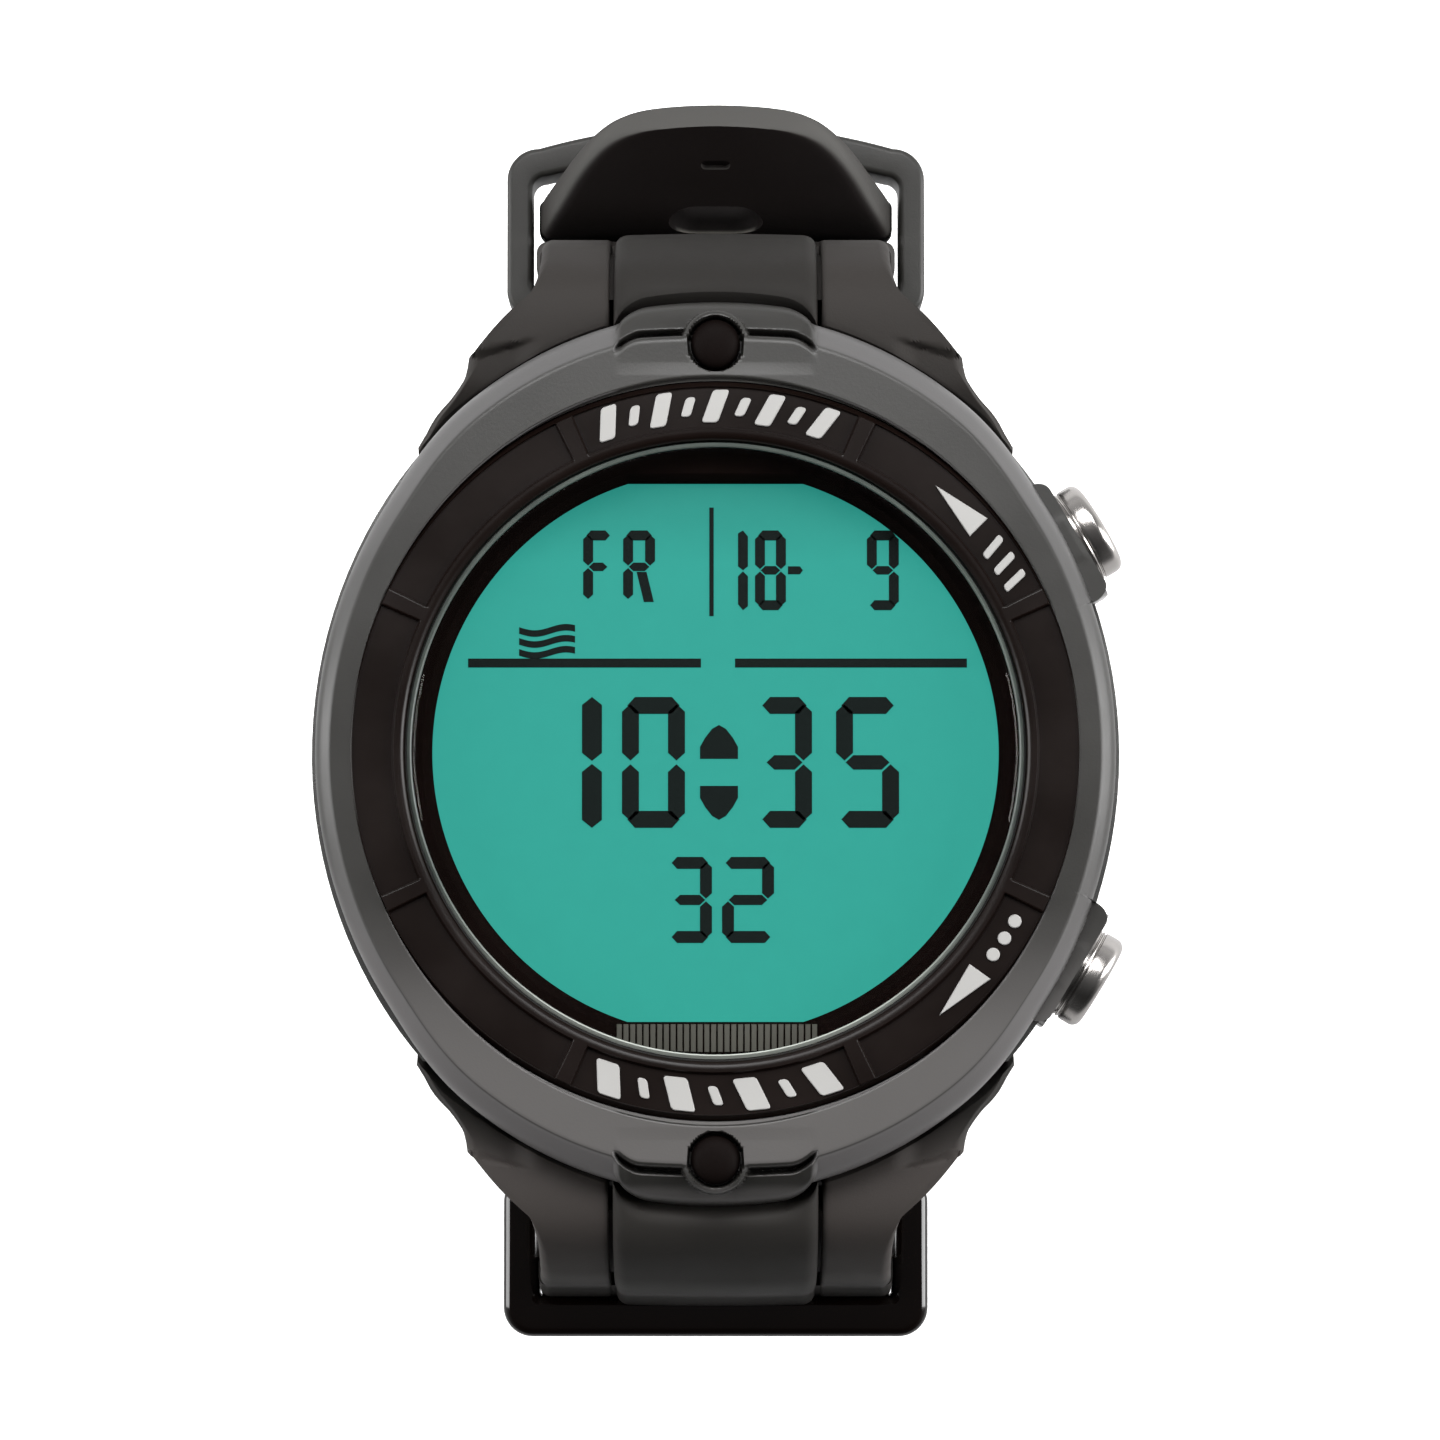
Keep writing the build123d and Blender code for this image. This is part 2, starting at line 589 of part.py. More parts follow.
# ------------------------------------------------------------------ strap roots (12 o'clock side; mirrored for 6)
with BuildPart() as strap_root:
    # side profile: over the lug, out to the wrist's side
    with BuildSketch(Plane.YZ.offset(-20)):
        with BuildLine():
            Line((SIDE_Y, ROOT_Z), (ROOT_Y, ROOT_Z))
            Spline((ROOT_Y, ROOT_Z), (34.15, -1.5), (33.85, 1.8), (32.95, 5.4), (31.0, 8.55), (28.7, 9.9), tangents=[(-0.1, 1), (-1, 0.35)])
            Polyline((28.7, 9.9), (25.0, 10.0), (22.0, 9.3), (19.0, 7.6), (19.0, 3.6), (24.9, 3.4))
            Spline((24.9, 3.4), (28.2, 2.3), (30.6, -0.4), (SIDE_Y, ROOT_Z), tangents=[(1, -0.1), (0, -1)])
        make_face()
    extrude(amount=40)
    # plan outline
    with BuildSketch(Plane.XY.offset(-10)):
        with BuildLine():
            wing_edge = [(17.0, 19.5), (18.2, 19.95), (18.25, 20.3), (16.95, 21.75), (15.85, 23.5), (15.6, 24.6), (15.4, 25.15), (14.35, 25.8), (13.4, 26.5), (12.6, 27.5), (11.95, 28.7), (11.5, 29.8), (11.3, 31.0), (11.25, 33.0), (STRAP_HALF, 34.2), (STRAP_HALF, 40.0)]
            Polyline(*wing_edge, *[(-x, y) for x, y in reversed(wing_edge)], (17.0, 19.5))
        make_face()
    extrude(amount=30, mode=Mode.INTERSECT)
    # front outline: narrows to the strap's width
    with BuildSketch(Plane.XZ.offset(-50)):
        with BuildLine():
            Polyline((STRAP_HALF, -6.0), (STRAP_HALF, -2.5), (13.2, 1.5), (20.0, 4.5), (20.0, 12.0), (-20.0, 12.0), (-20.0, 4.5), (-13.2, 1.5), (-STRAP_HALF, -2.5), (-STRAP_HALF, -6.0), (STRAP_HALF, -6.0))
        make_face()
    extrude(amount=50, mode=Mode.INTERSECT)
    # hugs the case
    with BuildSketch(Plane.XY.offset(8.0)):
        Ellipse(25.55, 27.7)
    extrude(amount=5, mode=Mode.SUBTRACT)
    with BuildSketch(Plane.XY.offset(-1.0)):
        Ellipse(25.55, 27.7)
        with Locations((0, -5.1)):
            Rectangle(70, 60, mode=Mode.INTERSECT)
    extrude(amount=9.1, mode=Mode.SUBTRACT)
    # room for the central lug and the cover's nose
    with BuildSketch(Plane.XY.offset(-1.0)):
        with Locations((0, 23.7)):
            Rectangle(13.2, 10.1)
    extrude(amount=14, mode=Mode.SUBTRACT)
    # lug pin hole
    with BuildSketch(Plane.YZ.offset(-18)):
        with Locations((PIN_Y, PIN_Z)):
            Circle(PIN_R + 0.03)
    extrude(amount=36, mode=Mode.SUBTRACT)

# ------------------------------------------------------------------ short strap (12 o'clock) with the buckle's pin eye
A_END = 10.2
with BuildPart() as strap_upper:
    add(strap_root.part)
    with BuildSketch(Plane.YZ.offset(-STRAP_HALF)):
        with BuildLine():
            Polyline((ROOT_Y, ROOT_Z), (SIDE_Y + STRAP_T, FULL_Z), (SIDE_Y + STRAP_T, BEND_Z))
            arc_between(S_BEND, S_UNDER, STRAP_T)
            arc_between(S_UNDER, A_END, STRAP_T)
            Line(loop_point(A_END, STRAP_T), loop_point(BUCKLE_S, 2.8))
            ThreePointArc(loop_point(BUCKLE_S, 2.8), loop_point(BUCKLE_S - 1.4, BUCKLE_N), loop_point(BUCKLE_S, 0))
            arc_between(BUCKLE_S, S_UNDER, 0)
            arc_between(S_UNDER, S_BEND, 0)
            Polyline((SIDE_Y, BEND_Z), (SIDE_Y, ROOT_Z), (ROOT_Y, ROOT_Z))
        make_face()
    extrude(amount=2 * STRAP_HALF)
    # pin eye and the prong's notch
    with BuildSketch(Plane.YZ.offset(-18)):
        with Locations(loop_point(BUCKLE_S, BUCKLE_N)):
            Circle(0.83)
    extrude(amount=36, mode=Mode.SUBTRACT)
    with BuildSketch(Plane.XY.offset(-44)):
        with Locations((0, 7.4)):
            Rectangle(3.2, 5.4)
    extrude(amount=8, mode=Mode.SUBTRACT)
strap_upper.part.label = "strap_upper"
export_step(strap_upper.part, "parts/strap_upper.step")

# ------------------------------------------------------------------ long strap (6 o'clock): under the wrist, through the buckle, up to 12
TAIL_TOP = -12.0
TAIL_S = S_BEND + (TAIL_TOP - BEND_Z)
with BuildPart() as strap_lower:
    mirror(strap_root.part, about=Plane.XZ)
    with BuildSketch(Plane.YZ.offset(-STRAP_HALF)):
        outer_s = [-24.0, -20.0, -16.0, -12.0, -9.0, -6.0, -4.0, -2.0, 0.0, 2.0, 4.0, 6.0, 8.0, 10.0, 12.0]
        with BuildLine():
            Polyline((-ROOT_Y, ROOT_Z), (-(SIDE_Y + STRAP_T), FULL_Z), (-(SIDE_Y + STRAP_T), BEND_Z))
            arc_between(-S_BEND, -S_UNDER, STRAP_T)
            Spline([loop_point(-S_UNDER, STRAP_T)] + [loop_point(s, tail_in(s) + tail_t(s)) for s in outer_s], tangents=[(0.866, -0.5), (math.cos(12 / UNDER_R), math.sin(12 / UNDER_R))])
            arc_between(12.0, S_UNDER, LAP + TAIL_T)
            arc_between(S_UNDER, S_BEND, LAP + TAIL_T)
            Line(loop_point(S_BEND, LAP + TAIL_T), loop_point(TAIL_S, LAP + TAIL_T))
            Spline(loop_point(TAIL_S, LAP + TAIL_T), (38.3, -9.1), (40.0, -5.9), (42.45, -2.1), tangents=[(0, 1), (0.55, 0.84)])
            Line((42.45, -2.1), (41.0, -1.05))
            Spline((41.0, -1.05), (38.5, -4.5), (36.35, -7.6), loop_point(TAIL_S, LAP), tangents=[(-0.55, -0.84), (0, -1)])
            Line(loop_point(TAIL_S, LAP), loop_point(S_BEND, LAP))
            arc_between(S_BEND, S_UNDER, LAP)
            arc_between(S_UNDER, 12.0, LAP)
            Spline([loop_point(s, tail_in(s)) for s in reversed(outer_s)] + [loop_point(-S_UNDER, 0)], tangents=[(-math.cos(12 / UNDER_R), -math.sin(12 / UNDER_R)), (-0.866, 0.5)])
            arc_between(-S_UNDER, -S_BEND, 0)
            Polyline((-SIDE_Y, BEND_Z), (-SIDE_Y, ROOT_Z), (-ROOT_Y, ROOT_Z))
        make_face()
    extrude(amount=2 * STRAP_HALF)
    # row of adjustment slots
    for k in range(-4, 7):
        s = SLOT_0 + k * SLOT_PITCH
        if k == -1:
            continue
        mid = tail_in(s) + tail_t(s) / 2
        p0, p1, pm = loop_point(s - 0.3, tail_in(s - 0.3) + tail_t(s) / 2), loop_point(s + 0.3, tail_in(s + 0.3) + tail_t(s) / 2), loop_point(s, mid)
        ty, tz = p1[0] - p0[0], p1[1] - p0[1]
        with BuildSketch(Plane(origin=(0, pm[0], pm[1]), x_dir=(1, 0, 0), z_dir=(0, tz, -ty))):
            RectangleRounded(SLOT_W, SLOT_L, 1.4)
        extrude(amount=1.9, both=True, mode=Mode.SUBTRACT)
    with BuildSketch(Plane(origin=(0, 37.05, -8.7), x_dir=(1, 0, 0), z_dir=(0, 0.933, -0.36))):
        RectangleRounded(SLOT_W, SLOT_L - 0.4, 1.4)
    extrude(amount=2.4, both=True, mode=Mode.SUBTRACT)
    # rounded free end, cut square to the flared tip
    with BuildSketch(Plane(origin=(0, 41.4, -1.6), x_dir=(1, 0, 0), z_dir=(0, 0.84, -0.55))):
        with Locations((0, 0)):
            Rectangle(2 * STRAP_HALF + 2, 18.8)
        with Locations((0, 9.5)):
            Ellipse(STRAP_HALF, 9.6, mode=Mode.SUBTRACT)
    extrude(amount=4, both=True, mode=Mode.SUBTRACT)
strap_lower.part.label = "strap_lower"
export_step(strap_lower.part, "parts/strap_lower.step")

with BuildPart() as lug_pin_upper:
    with BuildSketch(Plane.YZ.offset(-12.3)):
        with Locations((PIN_Y, PIN_Z)):
            Circle(PIN_R)
    extrude(amount=24.6)
    chamfer(lug_pin_upper.edges().filter_by(GeomType.CIRCLE), 0.15)
lug_pin_upper.part.label = "lug_pin_upper"
export_step(lug_pin_upper.part, "parts/lug_pin_upper.step")

with BuildPart() as lug_pin_lower:
    mirror(lug_pin_upper.part, about=Plane.XZ)
lug_pin_lower.part.label = "lug_pin_lower"
export_step(lug_pin_lower.part, "parts/lug_pin_lower.step")

# ------------------------------------------------------------------ buckle
with BuildPart() as buckle_frame:
    for x in (11.85, -13.3):
        with BuildSketch(Plane.YZ.offset(x)):
            with Locations(loop_point(BUCKLE_S, BUCKLE_N)):
                Circle(1.5)
            with Locations(loop_point(BAR_S, BAR_N)):
                Circle(BAR_R)
            make_hull()
        extrude(amount=1.45)
    with BuildSketch(Plane.YZ.offset(-13.3)):
        with Locations(loop_point(BAR_S, BAR_N)):
            Circle(BAR_R)
    extrude(amount=26.6)
    with BuildSketch(Plane.YZ.offset(-14)):
        with Locations(loop_point(BUCKLE_S, BUCKLE_N)):
            Circle(0.83)
    extrude(amount=28, mode=Mode.SUBTRACT)
buckle_frame.part.label = "buckle_frame"
export_step(buckle_frame.part, "parts/buckle_frame.step")

with BuildPart() as buckle_pin:
    with BuildSketch(Plane.YZ.offset(-13.2)):
        with Locations(loop_point(BUCKLE_S, BUCKLE_N)):
            Circle(0.79)
    extrude(amount=26.4)
    chamfer(buckle_pin.edges().filter_by(GeomType.CIRCLE), 0.12)
buckle_pin.part.label = "buckle_pin"
export_step(buckle_pin.part, "parts/buckle_pin.step")

with BuildPart() as buckle_prong:
    with BuildSketch(Plane.YZ.offset(-1.2)):
        with BuildLine():
            prong_outer = Spline([loop_point(s, n) for s, n in ((7.4, 2.8), (6.3, 2.95), (5.1, 3.4), (3.8, 4.45), (2.3, 5.85), (0.5, 6.55), (-2.0, 6.7), (-4.2, 6.65), (-5.9, 6.4))])
            prong_inner = Spline([loop_point(s, n) for s, n in ((-5.8, 5.8), (-4.2, 5.85), (-2.0, 5.9), (0.3, 5.75), (1.7, 5.1), (3.1, 3.85), (4.6, 2.7), (6.2, 1.9), (7.4, 1.4))])
            Line(prong_outer @ 1, prong_inner @ 0)
            Line(prong_inner @ 1, prong_outer @ 0)
        make_face()
        with Locations(loop_point(BUCKLE_S, BUCKLE_N)):
            Circle(1.45)
        with Locations(loop_point(BUCKLE_S, BUCKLE_N)):
            Circle(0.83, mode=Mode.SUBTRACT)
    extrude(amount=2.4)
buckle_prong.part.label = "buckle_prong"
export_step(buckle_prong.part, "parts/buckle_prong.step")

# ------------------------------------------------------------------ keepers
# the outer bar of this loop is arched, so it clears the free end of the strap
KEEPER_IN = KEEPER_HALF - KEEPER_WALL
with BuildPart() as keeper_upper:
    with BuildSketch(Plane.XY.offset(-16.6)) as keeper_frame:
        with BuildLine():
            Polyline((KEEPER_HALF, 39.84), (KEEPER_HALF, 30.0), (-KEEPER_HALF, 30.0), (-KEEPER_HALF, 39.84))
            ThreePointArc((-KEEPER_HALF, 39.84), (0, 42.0), (KEEPER_HALF, 39.84))
        make_face()
        fillet(keeper_frame.vertices(), 1.7)
    extrude(amount=5.0)
    with BuildSketch(Plane.XY.offset(-16.6)) as keeper_opening:
        with BuildLine():
            Polyline((KEEPER_IN, 38.4), (KEEPER_IN, 31.5), (-KEEPER_IN, 31.5), (-KEEPER_IN, 38.4))
            ThreePointArc((-KEEPER_IN, 38.4), (0, 40.1), (KEEPER_IN, 38.4))
        make_face()
        fillet(keeper_opening.vertices(), 0.7)
    extrude(amount=5.0, mode=Mode.SUBTRACT)
keeper_upper.part.label = "keeper_upper"
export_step(keeper_upper.part, "parts/keeper_upper.step")

with BuildPart() as keeper_lower:
    with BuildSketch(Plane.XY.offset(-13.2)):
        with Locations((0, -32.55)):
            RectangleRounded(2 * KEEPER_HALF, 9.4, 1.9)
        with Locations((0, -32.15)):
            RectangleRounded(23.2, 5.9, 0.3, mode=Mode.SUBTRACT)
    extrude(amount=5.4)
keeper_lower.part.label = "keeper_lower"
export_step(keeper_lower.part, "parts/keeper_lower.step")
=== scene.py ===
import bpy
import json
import math
import numpy as np
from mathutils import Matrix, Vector


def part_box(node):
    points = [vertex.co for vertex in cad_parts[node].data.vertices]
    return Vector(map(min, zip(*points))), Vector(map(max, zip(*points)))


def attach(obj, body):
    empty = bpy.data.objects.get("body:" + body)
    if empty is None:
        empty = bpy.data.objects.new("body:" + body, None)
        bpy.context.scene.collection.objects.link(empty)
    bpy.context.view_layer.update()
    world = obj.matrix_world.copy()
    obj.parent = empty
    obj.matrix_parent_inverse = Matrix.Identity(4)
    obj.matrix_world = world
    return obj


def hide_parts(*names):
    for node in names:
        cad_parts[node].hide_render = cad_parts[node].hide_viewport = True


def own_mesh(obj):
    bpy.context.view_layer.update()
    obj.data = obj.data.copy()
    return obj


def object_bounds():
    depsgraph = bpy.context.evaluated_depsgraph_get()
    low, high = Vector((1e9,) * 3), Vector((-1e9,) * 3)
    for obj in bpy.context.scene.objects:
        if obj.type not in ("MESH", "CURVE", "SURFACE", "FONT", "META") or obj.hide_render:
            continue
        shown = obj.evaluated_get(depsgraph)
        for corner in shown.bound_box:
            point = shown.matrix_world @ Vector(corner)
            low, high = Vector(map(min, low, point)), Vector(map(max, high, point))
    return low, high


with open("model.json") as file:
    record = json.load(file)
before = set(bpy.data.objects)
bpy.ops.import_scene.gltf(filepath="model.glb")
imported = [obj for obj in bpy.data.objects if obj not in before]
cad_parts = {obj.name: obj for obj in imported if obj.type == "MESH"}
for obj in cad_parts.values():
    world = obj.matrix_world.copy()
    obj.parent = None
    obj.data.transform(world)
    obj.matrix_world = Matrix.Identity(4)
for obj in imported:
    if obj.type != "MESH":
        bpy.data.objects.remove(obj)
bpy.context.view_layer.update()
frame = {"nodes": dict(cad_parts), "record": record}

MM = 0.001
NODES = frame["nodes"]
CASE = "case"
BODY_OF = {n: b for b, ns in frame["record"]["behaviour"]["bodies"].items() for n in ns}


# ---------------------------------------------------------------- small helpers
def bx(node):
    lo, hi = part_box(node)
    return np.array(lo) * 1000.0, np.array(hi) * 1000.0


def smooth(t):
    t = np.clip(t, 0.0, 1.0)
    return t * t * (3 - 2 * t)


def make_obj(name, verts, faces, mat, body, replaces=(), angle=32.0):
    """verts in millimetres."""
    me = bpy.data.meshes.new(name)
    me.from_pydata((np.asarray(verts, float) * MM).tolist(), [], [tuple(int(i) for i in f) for f in faces])
    me.validate()
    me.update()
    ob = bpy.data.objects.new(name, me)
    bpy.context.scene.collection.objects.link(ob)
    fix_normals(me)
    me.shade_smooth()
    me.set_sharp_from_angle(angle=math.radians(angle))
    me.materials.append(mat)
    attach(ob, body)
    if replaces:
        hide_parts(*replaces)
    return ob


def fix_normals(me):
    import bmesh
    bm = bmesh.new()
    bm.from_mesh(me)
    bmesh.ops.remove_doubles(bm, verts=bm.verts, dist=1e-8)
    bmesh.ops.recalc_face_normals(bm, faces=bm.faces)
    bm.to_mesh(me)
    bm.free()


def grid_faces(n, m, wrap_n=False, wrap_m=False, base=0):
    fs = []
    for i in range(n if wrap_n else n - 1):
        i2 = (i + 1) % n
        for j in range(m if wrap_m else m - 1):
            j2 = (j + 1) % m
            fs.append((base + i * m + j, base + i2 * m + j, base + i2 * m + j2, base + i * m + j2))
    return fs


def lathe(profile, n=192, centre=(0, 0, 0), ex=(1, 0, 0), ey=(0, 1, 0), ez=(0, 0, 1), closed=False):
    """Spin (radius, height) round ez. Ends on the axis are capped with one vertex."""
    ex, ey, ez, c = (np.array(v, float) for v in (ex, ey, ez, centre))
    verts, rings = [], []
    for r, h in profile:
        if r < 1e-9:
            rings.append([len(verts)])
            verts.append(c + ez * h)
        else:
            a = np.arange(n) * 2 * math.pi / n
            rings.append(list(range(len(verts), len(verts) + n)))
            verts.extend(c + np.outer(np.cos(a) * r, ex) + np.outer(np.sin(a) * r, ey) + ez * h)
    faces = []
    pairs = list(zip(rings, rings[1:])) + ([(rings[-1], rings[0])] if closed else [])
    for A, B in pairs:
        if len(A) == 1 and len(B) == 1:
            continue
        for k in range(n):
            k2 = (k + 1) % n
            if len(A) == 1:
                faces.append((A[0], B[k], B[k2]))
            elif len(B) == 1:
                faces.append((A[k], B[0], A[k2]))
            else:
                faces.append((A[k], B[k], B[k2], A[k2]))
    return np.array(verts), faces


def arc_pts(cx, cy, r, a0, a1, n):
    a = np.radians(np.linspace(a0, a1, n))
    return [(cx + r * math.cos(t), cy + r * math.sin(t)) for t in a]


def catmull(pts, per=24):
    """Smooth curve through points (any dimension), centripetal."""
    p = [np.array(q, float) for q in pts]
    p = [2 * p[0] - p[1]] + p + [2 * p[-1] - p[-2]]
    out = []
    for i in range(1, len(p) - 2):
        p0, p1, p2, p3 = p[i - 1], p[i], p[i + 1], p[i + 2]
        t0 = 0.0
        t1 = t0 + np.linalg.norm(p1 - p0) ** 0.5
        t2 = t1 + np.linalg.norm(p2 - p1) ** 0.5
        t3 = t2 + np.linalg.norm(p3 - p2) ** 0.5
        for t in np.linspace(t1, t2, per, endpoint=False):
            a1 = (t1 - t) / (t1 - t0) * p0 + (t - t0) / (t1 - t0) * p1
            a2 = (t2 - t) / (t2 - t1) * p1 + (t - t1) / (t2 - t1) * p2
            a3 = (t3 - t) / (t3 - t2) * p2 + (t - t2) / (t3 - t2) * p3
            b1 = (t2 - t) / (t2 - t0) * a1 + (t - t0) / (t2 - t0) * a2
            b2 = (t3 - t) / (t3 - t1) * a2 + (t - t1) / (t3 - t1) * a3
            out.append((t2 - t) / (t2 - t1) * b1 + (t - t1) / (t2 - t1) * b2)
    out.append(p[-2])
    return np.array(out)


# ---------------------------------------------------------------- materials
def new_mat(name):
    m = bpy.data.materials.new(name)
    m.use_nodes = True
    nt = m.node_tree
    nt.nodes.clear()
    out = nt.nodes.new("ShaderNodeOutputMaterial")
    bsdf = nt.nodes.new("ShaderNodeBsdfPrincipled")
    nt.links.new(bsdf.outputs[0], out.inputs[0])
    co = nt.nodes.new("ShaderNodeTexCoord")
    return m, nt, bsdf, co, out


def noise(nt, co, scale, detail=3.0, rough=0.5, stretch=None):
    n = nt.nodes.new("ShaderNodeTexNoise")
    n.inputs["Scale"].default_value = scale
    n.inputs["Detail"].default_value = detail
    n.inputs["Roughness"].default_value = rough
    if stretch is not None:
        mp = nt.nodes.new("ShaderNodeMapping")
        mp.inputs["Scale"].default_value = stretch
        nt.links.new(co.outputs["Object"], mp.inputs[0])
        nt.links.new(mp.outputs[0], n.inputs["Vector"])
    else:
        nt.links.new(co.outputs["Object"], n.inputs["Vector"])
    return n


def ramp(nt, src, stops):
    r = nt.nodes.new("ShaderNodeValToRGB")
    while len(r.color_ramp.elements) < len(stops):
        r.color_ramp.elements.new(0.5)
    for e, (p, c) in zip(r.color_ramp.elements, stops):
        e.position = p
        e.color = c if len(c) == 4 else (*c, 1)
    nt.links.new(src, r.inputs[0])
    return r


def srgb(r, g, b):
    def f(v):
        v /= 255.0
        return v / 12.92 if v <= 0.04045 else ((v + 0.055) / 1.055) ** 2.4
    return (f(r), f(g), f(b))


def plastic(name, col, rough, rvar=0.06, grain=900.0, bump=0.05, cvar=0.12, wear=0.0, sheen=0.0, spec=0.5, coat=0.0):
    """Moulded plastic or rubber: fine grain bump, patchy roughness, faint colour drift, optional edge wear."""
    m, nt, b, co, out = new_mat(name)
    n1 = noise(nt, co, 140.0, 4.0)
    n2 = noise(nt, co, grain * 6.0, 2.0, 0.6)
    c0 = tuple(max(0.0, v * (1 - cvar)) for v in col)
    c1 = tuple(v * (1 + cvar) for v in col)
    cr = ramp(nt, n1.outputs[0], [(0.35, c0), (0.65, c1)])
    colour = cr.outputs[0]
    if wear:
        g = nt.nodes.new("ShaderNodeNewGeometry")
        wr = ramp(nt, g.outputs["Pointiness"], [(0.505, (0, 0, 0)), (0.56, (wear, wear, wear))])
        mx = nt.nodes.new("ShaderNodeMixRGB")
        mx.inputs[2].default_value = (*[min(1, v * 3.0 + 0.02) for v in col], 1)
        nt.links.new(wr.outputs[0], mx.inputs[0])
        nt.links.new(colour, mx.inputs[1])
        colour = mx.outputs[0]
    nt.links.new(colour, b.inputs["Base Color"])
    rr = nt.nodes.new("ShaderNodeMapRange")
    rr.inputs["From Min"].default_value = 0.3
    rr.inputs["From Max"].default_value = 0.7
    rr.inputs["To Min"].default_value = max(0.02, rough - rvar)
    rr.inputs["To Max"].default_value = min(1.0, rough + rvar)
    nt.links.new(n1.outputs[0], rr.inputs[0])
    nt.links.new(rr.outputs[0], b.inputs["Roughness"])
    bp = nt.nodes.new("ShaderNodeBump")
    bp.inputs["Strength"].default_value = bump
    bp.inputs["Distance"].default_value = 0.00006
    nt.links.new(n2.outputs[0], bp.inputs["Height"])
    nt.links.new(bp.outputs[0], b.inputs["Normal"])
    b.inputs["Specular IOR Level"].default_value = spec
    if sheen:
        b.inputs["Sheen Weight"].default_value = sheen
        b.inputs["Sheen Roughness"].default_value = 0.4
    if coat:
        b.inputs["Coat Weight"].default_value = coat
        b.inputs["Coat Roughness"].default_value = 0.08
    return m


def metal(name, col, rough, stretch=(1, 1, 1), brush=0.0, rvar=0.05, scale=400.0):
    m, nt, b, co, out = new_mat(name)
    n1 = noise(nt, co, scale, 3.0, 0.6, stretch)
    n2 = noise(nt, co, 90.0, 3.0)
    cr = ramp(nt, n2.outputs[0], [(0.3, tuple(v * 0.93 for v in col)), (0.7, tuple(min(1, v * 1.05) for v in col))])
    nt.links.new(cr.outputs[0], b.inputs["Base Color"])
    b.inputs["Metallic"].default_value = 1.0
    rr = nt.nodes.new("ShaderNodeMapRange")
    rr.inputs["To Min"].default_value = max(0.02, rough - rvar)
    rr.inputs["To Max"].default_value = rough + rvar
    nt.links.new(n1.outputs[0], rr.inputs[0])
    nt.links.new(rr.outputs[0], b.inputs["Roughness"])
    bp = nt.nodes.new("ShaderNodeBump")
    bp.inputs["Strength"].default_value = brush
    bp.inputs["Distance"].default_value = 0.00004
    nt.links.new(n1.outputs[0], bp.inputs["Height"])
    nt.links.new(bp.outputs[0], b.inputs["Normal"])
    return m


M = {}
M["cover"] = plastic("cover_plastic", srgb(36, 35, 33), 0.42, 0.05, 900, 0.10, 0.08, spec=0.42)


def tint(m, mask_fn, col):
    """Mix another base colour into a material where mask_fn's node output is 1."""
    nt = m.node_tree
    b = next(n for n in nt.nodes if n.type == "BSDF_PRINCIPLED")
    co = next(n for n in nt.nodes if n.type == "TEX_COORD")
    old = b.inputs["Base Color"].links[0].from_socket
    mx = nt.nodes.new("ShaderNodeMixRGB")
    mx.inputs[2].default_value = (*col, 1)
    nt.links.new(mask_fn(nt, co), mx.inputs[0])
    nt.links.new(old, mx.inputs[1])
    nt.links.new(mx.outputs[0], b.inputs["Base Color"])


def mrange(nt, src, a, b, smooth_=True, to=(0.0, 1.0)):
    r = nt.nodes.new("ShaderNodeMapRange")
    if smooth_:
        r.interpolation_type = "SMOOTHSTEP"
    r.inputs["From Min"].default_value, r.inputs["From Max"].default_value = a, b
    r.inputs["To Min"].default_value, r.inputs["To Max"].default_value = to
    nt.links.new(src, r.inputs[0])
    return r.outputs[0]


def mth(nt, op, a, b):
    n = nt.nodes.new("ShaderNodeMath")
    n.operation = op
    for k, v in ((0, a), (1, b)):
        if isinstance(v, (int, float)):
            n.inputs[k].default_value = v
        else:
            nt.links.new(v, n.inputs[k])
    return n.outputs[0]


def xyz(nt, src):
    n = nt.nodes.new("ShaderNodeSeparateXYZ")
    nt.links.new(src, n.inputs[0])
    return n.outputs


def dot(nt, src, v):
    n = nt.nodes.new("ShaderNodeVectorMath")
    n.operation = "DOT_PRODUCT"
    nt.links.new(src, n.inputs[0])
    n.inputs[1].default_value = v
    return n.outputs["Value"]


# painted light: the cover's sloped bevel, away from 3 and 9 o'clock and outside the lug tabs, is mixed to a paler grey
def bevel_light_mask(nt, co):
    g = nt.nodes.new("ShaderNodeNewGeometry")
    nz = xyz(nt, g.outputs["Normal"])[2]
    p = xyz(nt, co.outputs["Object"])
    side = mth(nt, "MULTIPLY", mrange(nt, nz, 0.93, 0.82), mrange(nt, nz, 0.05, 0.3))
    ay = mth(nt, "ABSOLUTE", p[1], 0.0)
    far = mrange(nt, ay, 0.004, 0.018)
    off = mrange(nt, mth(nt, "ABSOLUTE", p[0], 0.0), 0.0058, 0.0066)
    return mth(nt, "MULTIPLY", mth(nt, "MULTIPLY", side, far), off)




# painted light: the bevel on the 6 o'clock half of the cover is mixed paler still
def low_bevel_light_mask(nt, co):
    return mth(nt, "MULTIPLY", bevel_light_mask(nt, co), mrange(nt, xyz(nt, co.outputs["Object"])[1], 0.002, -0.014))


# painted light: the up-facing top of the cover towards 6 o'clock is mixed paler, less so on the lug nose
def low_flat_light_mask(nt, co):
    g = nt.nodes.new("ShaderNodeNewGeometry")
    nz = xyz(nt, g.outputs["Normal"])[2]
    p = xyz(nt, co.outputs["Object"])
    up = mrange(nt, nz, 0.90, 0.96)
    low = mrange(nt, p[1], -0.008, -0.020)
    nose = mth(nt, "MULTIPLY", mrange(nt, mth(nt, "ABSOLUTE", p[0], 0.0), 0.0085, 0.0070), mrange(nt, p[1], -0.0262, -0.0272))
    keep = mth(nt, "SUBTRACT", 1.0, mth(nt, "MULTIPLY", nose, 0.75))
    return mth(nt, "MULTIPLY", mth(nt, "MULTIPLY", up, low), keep)
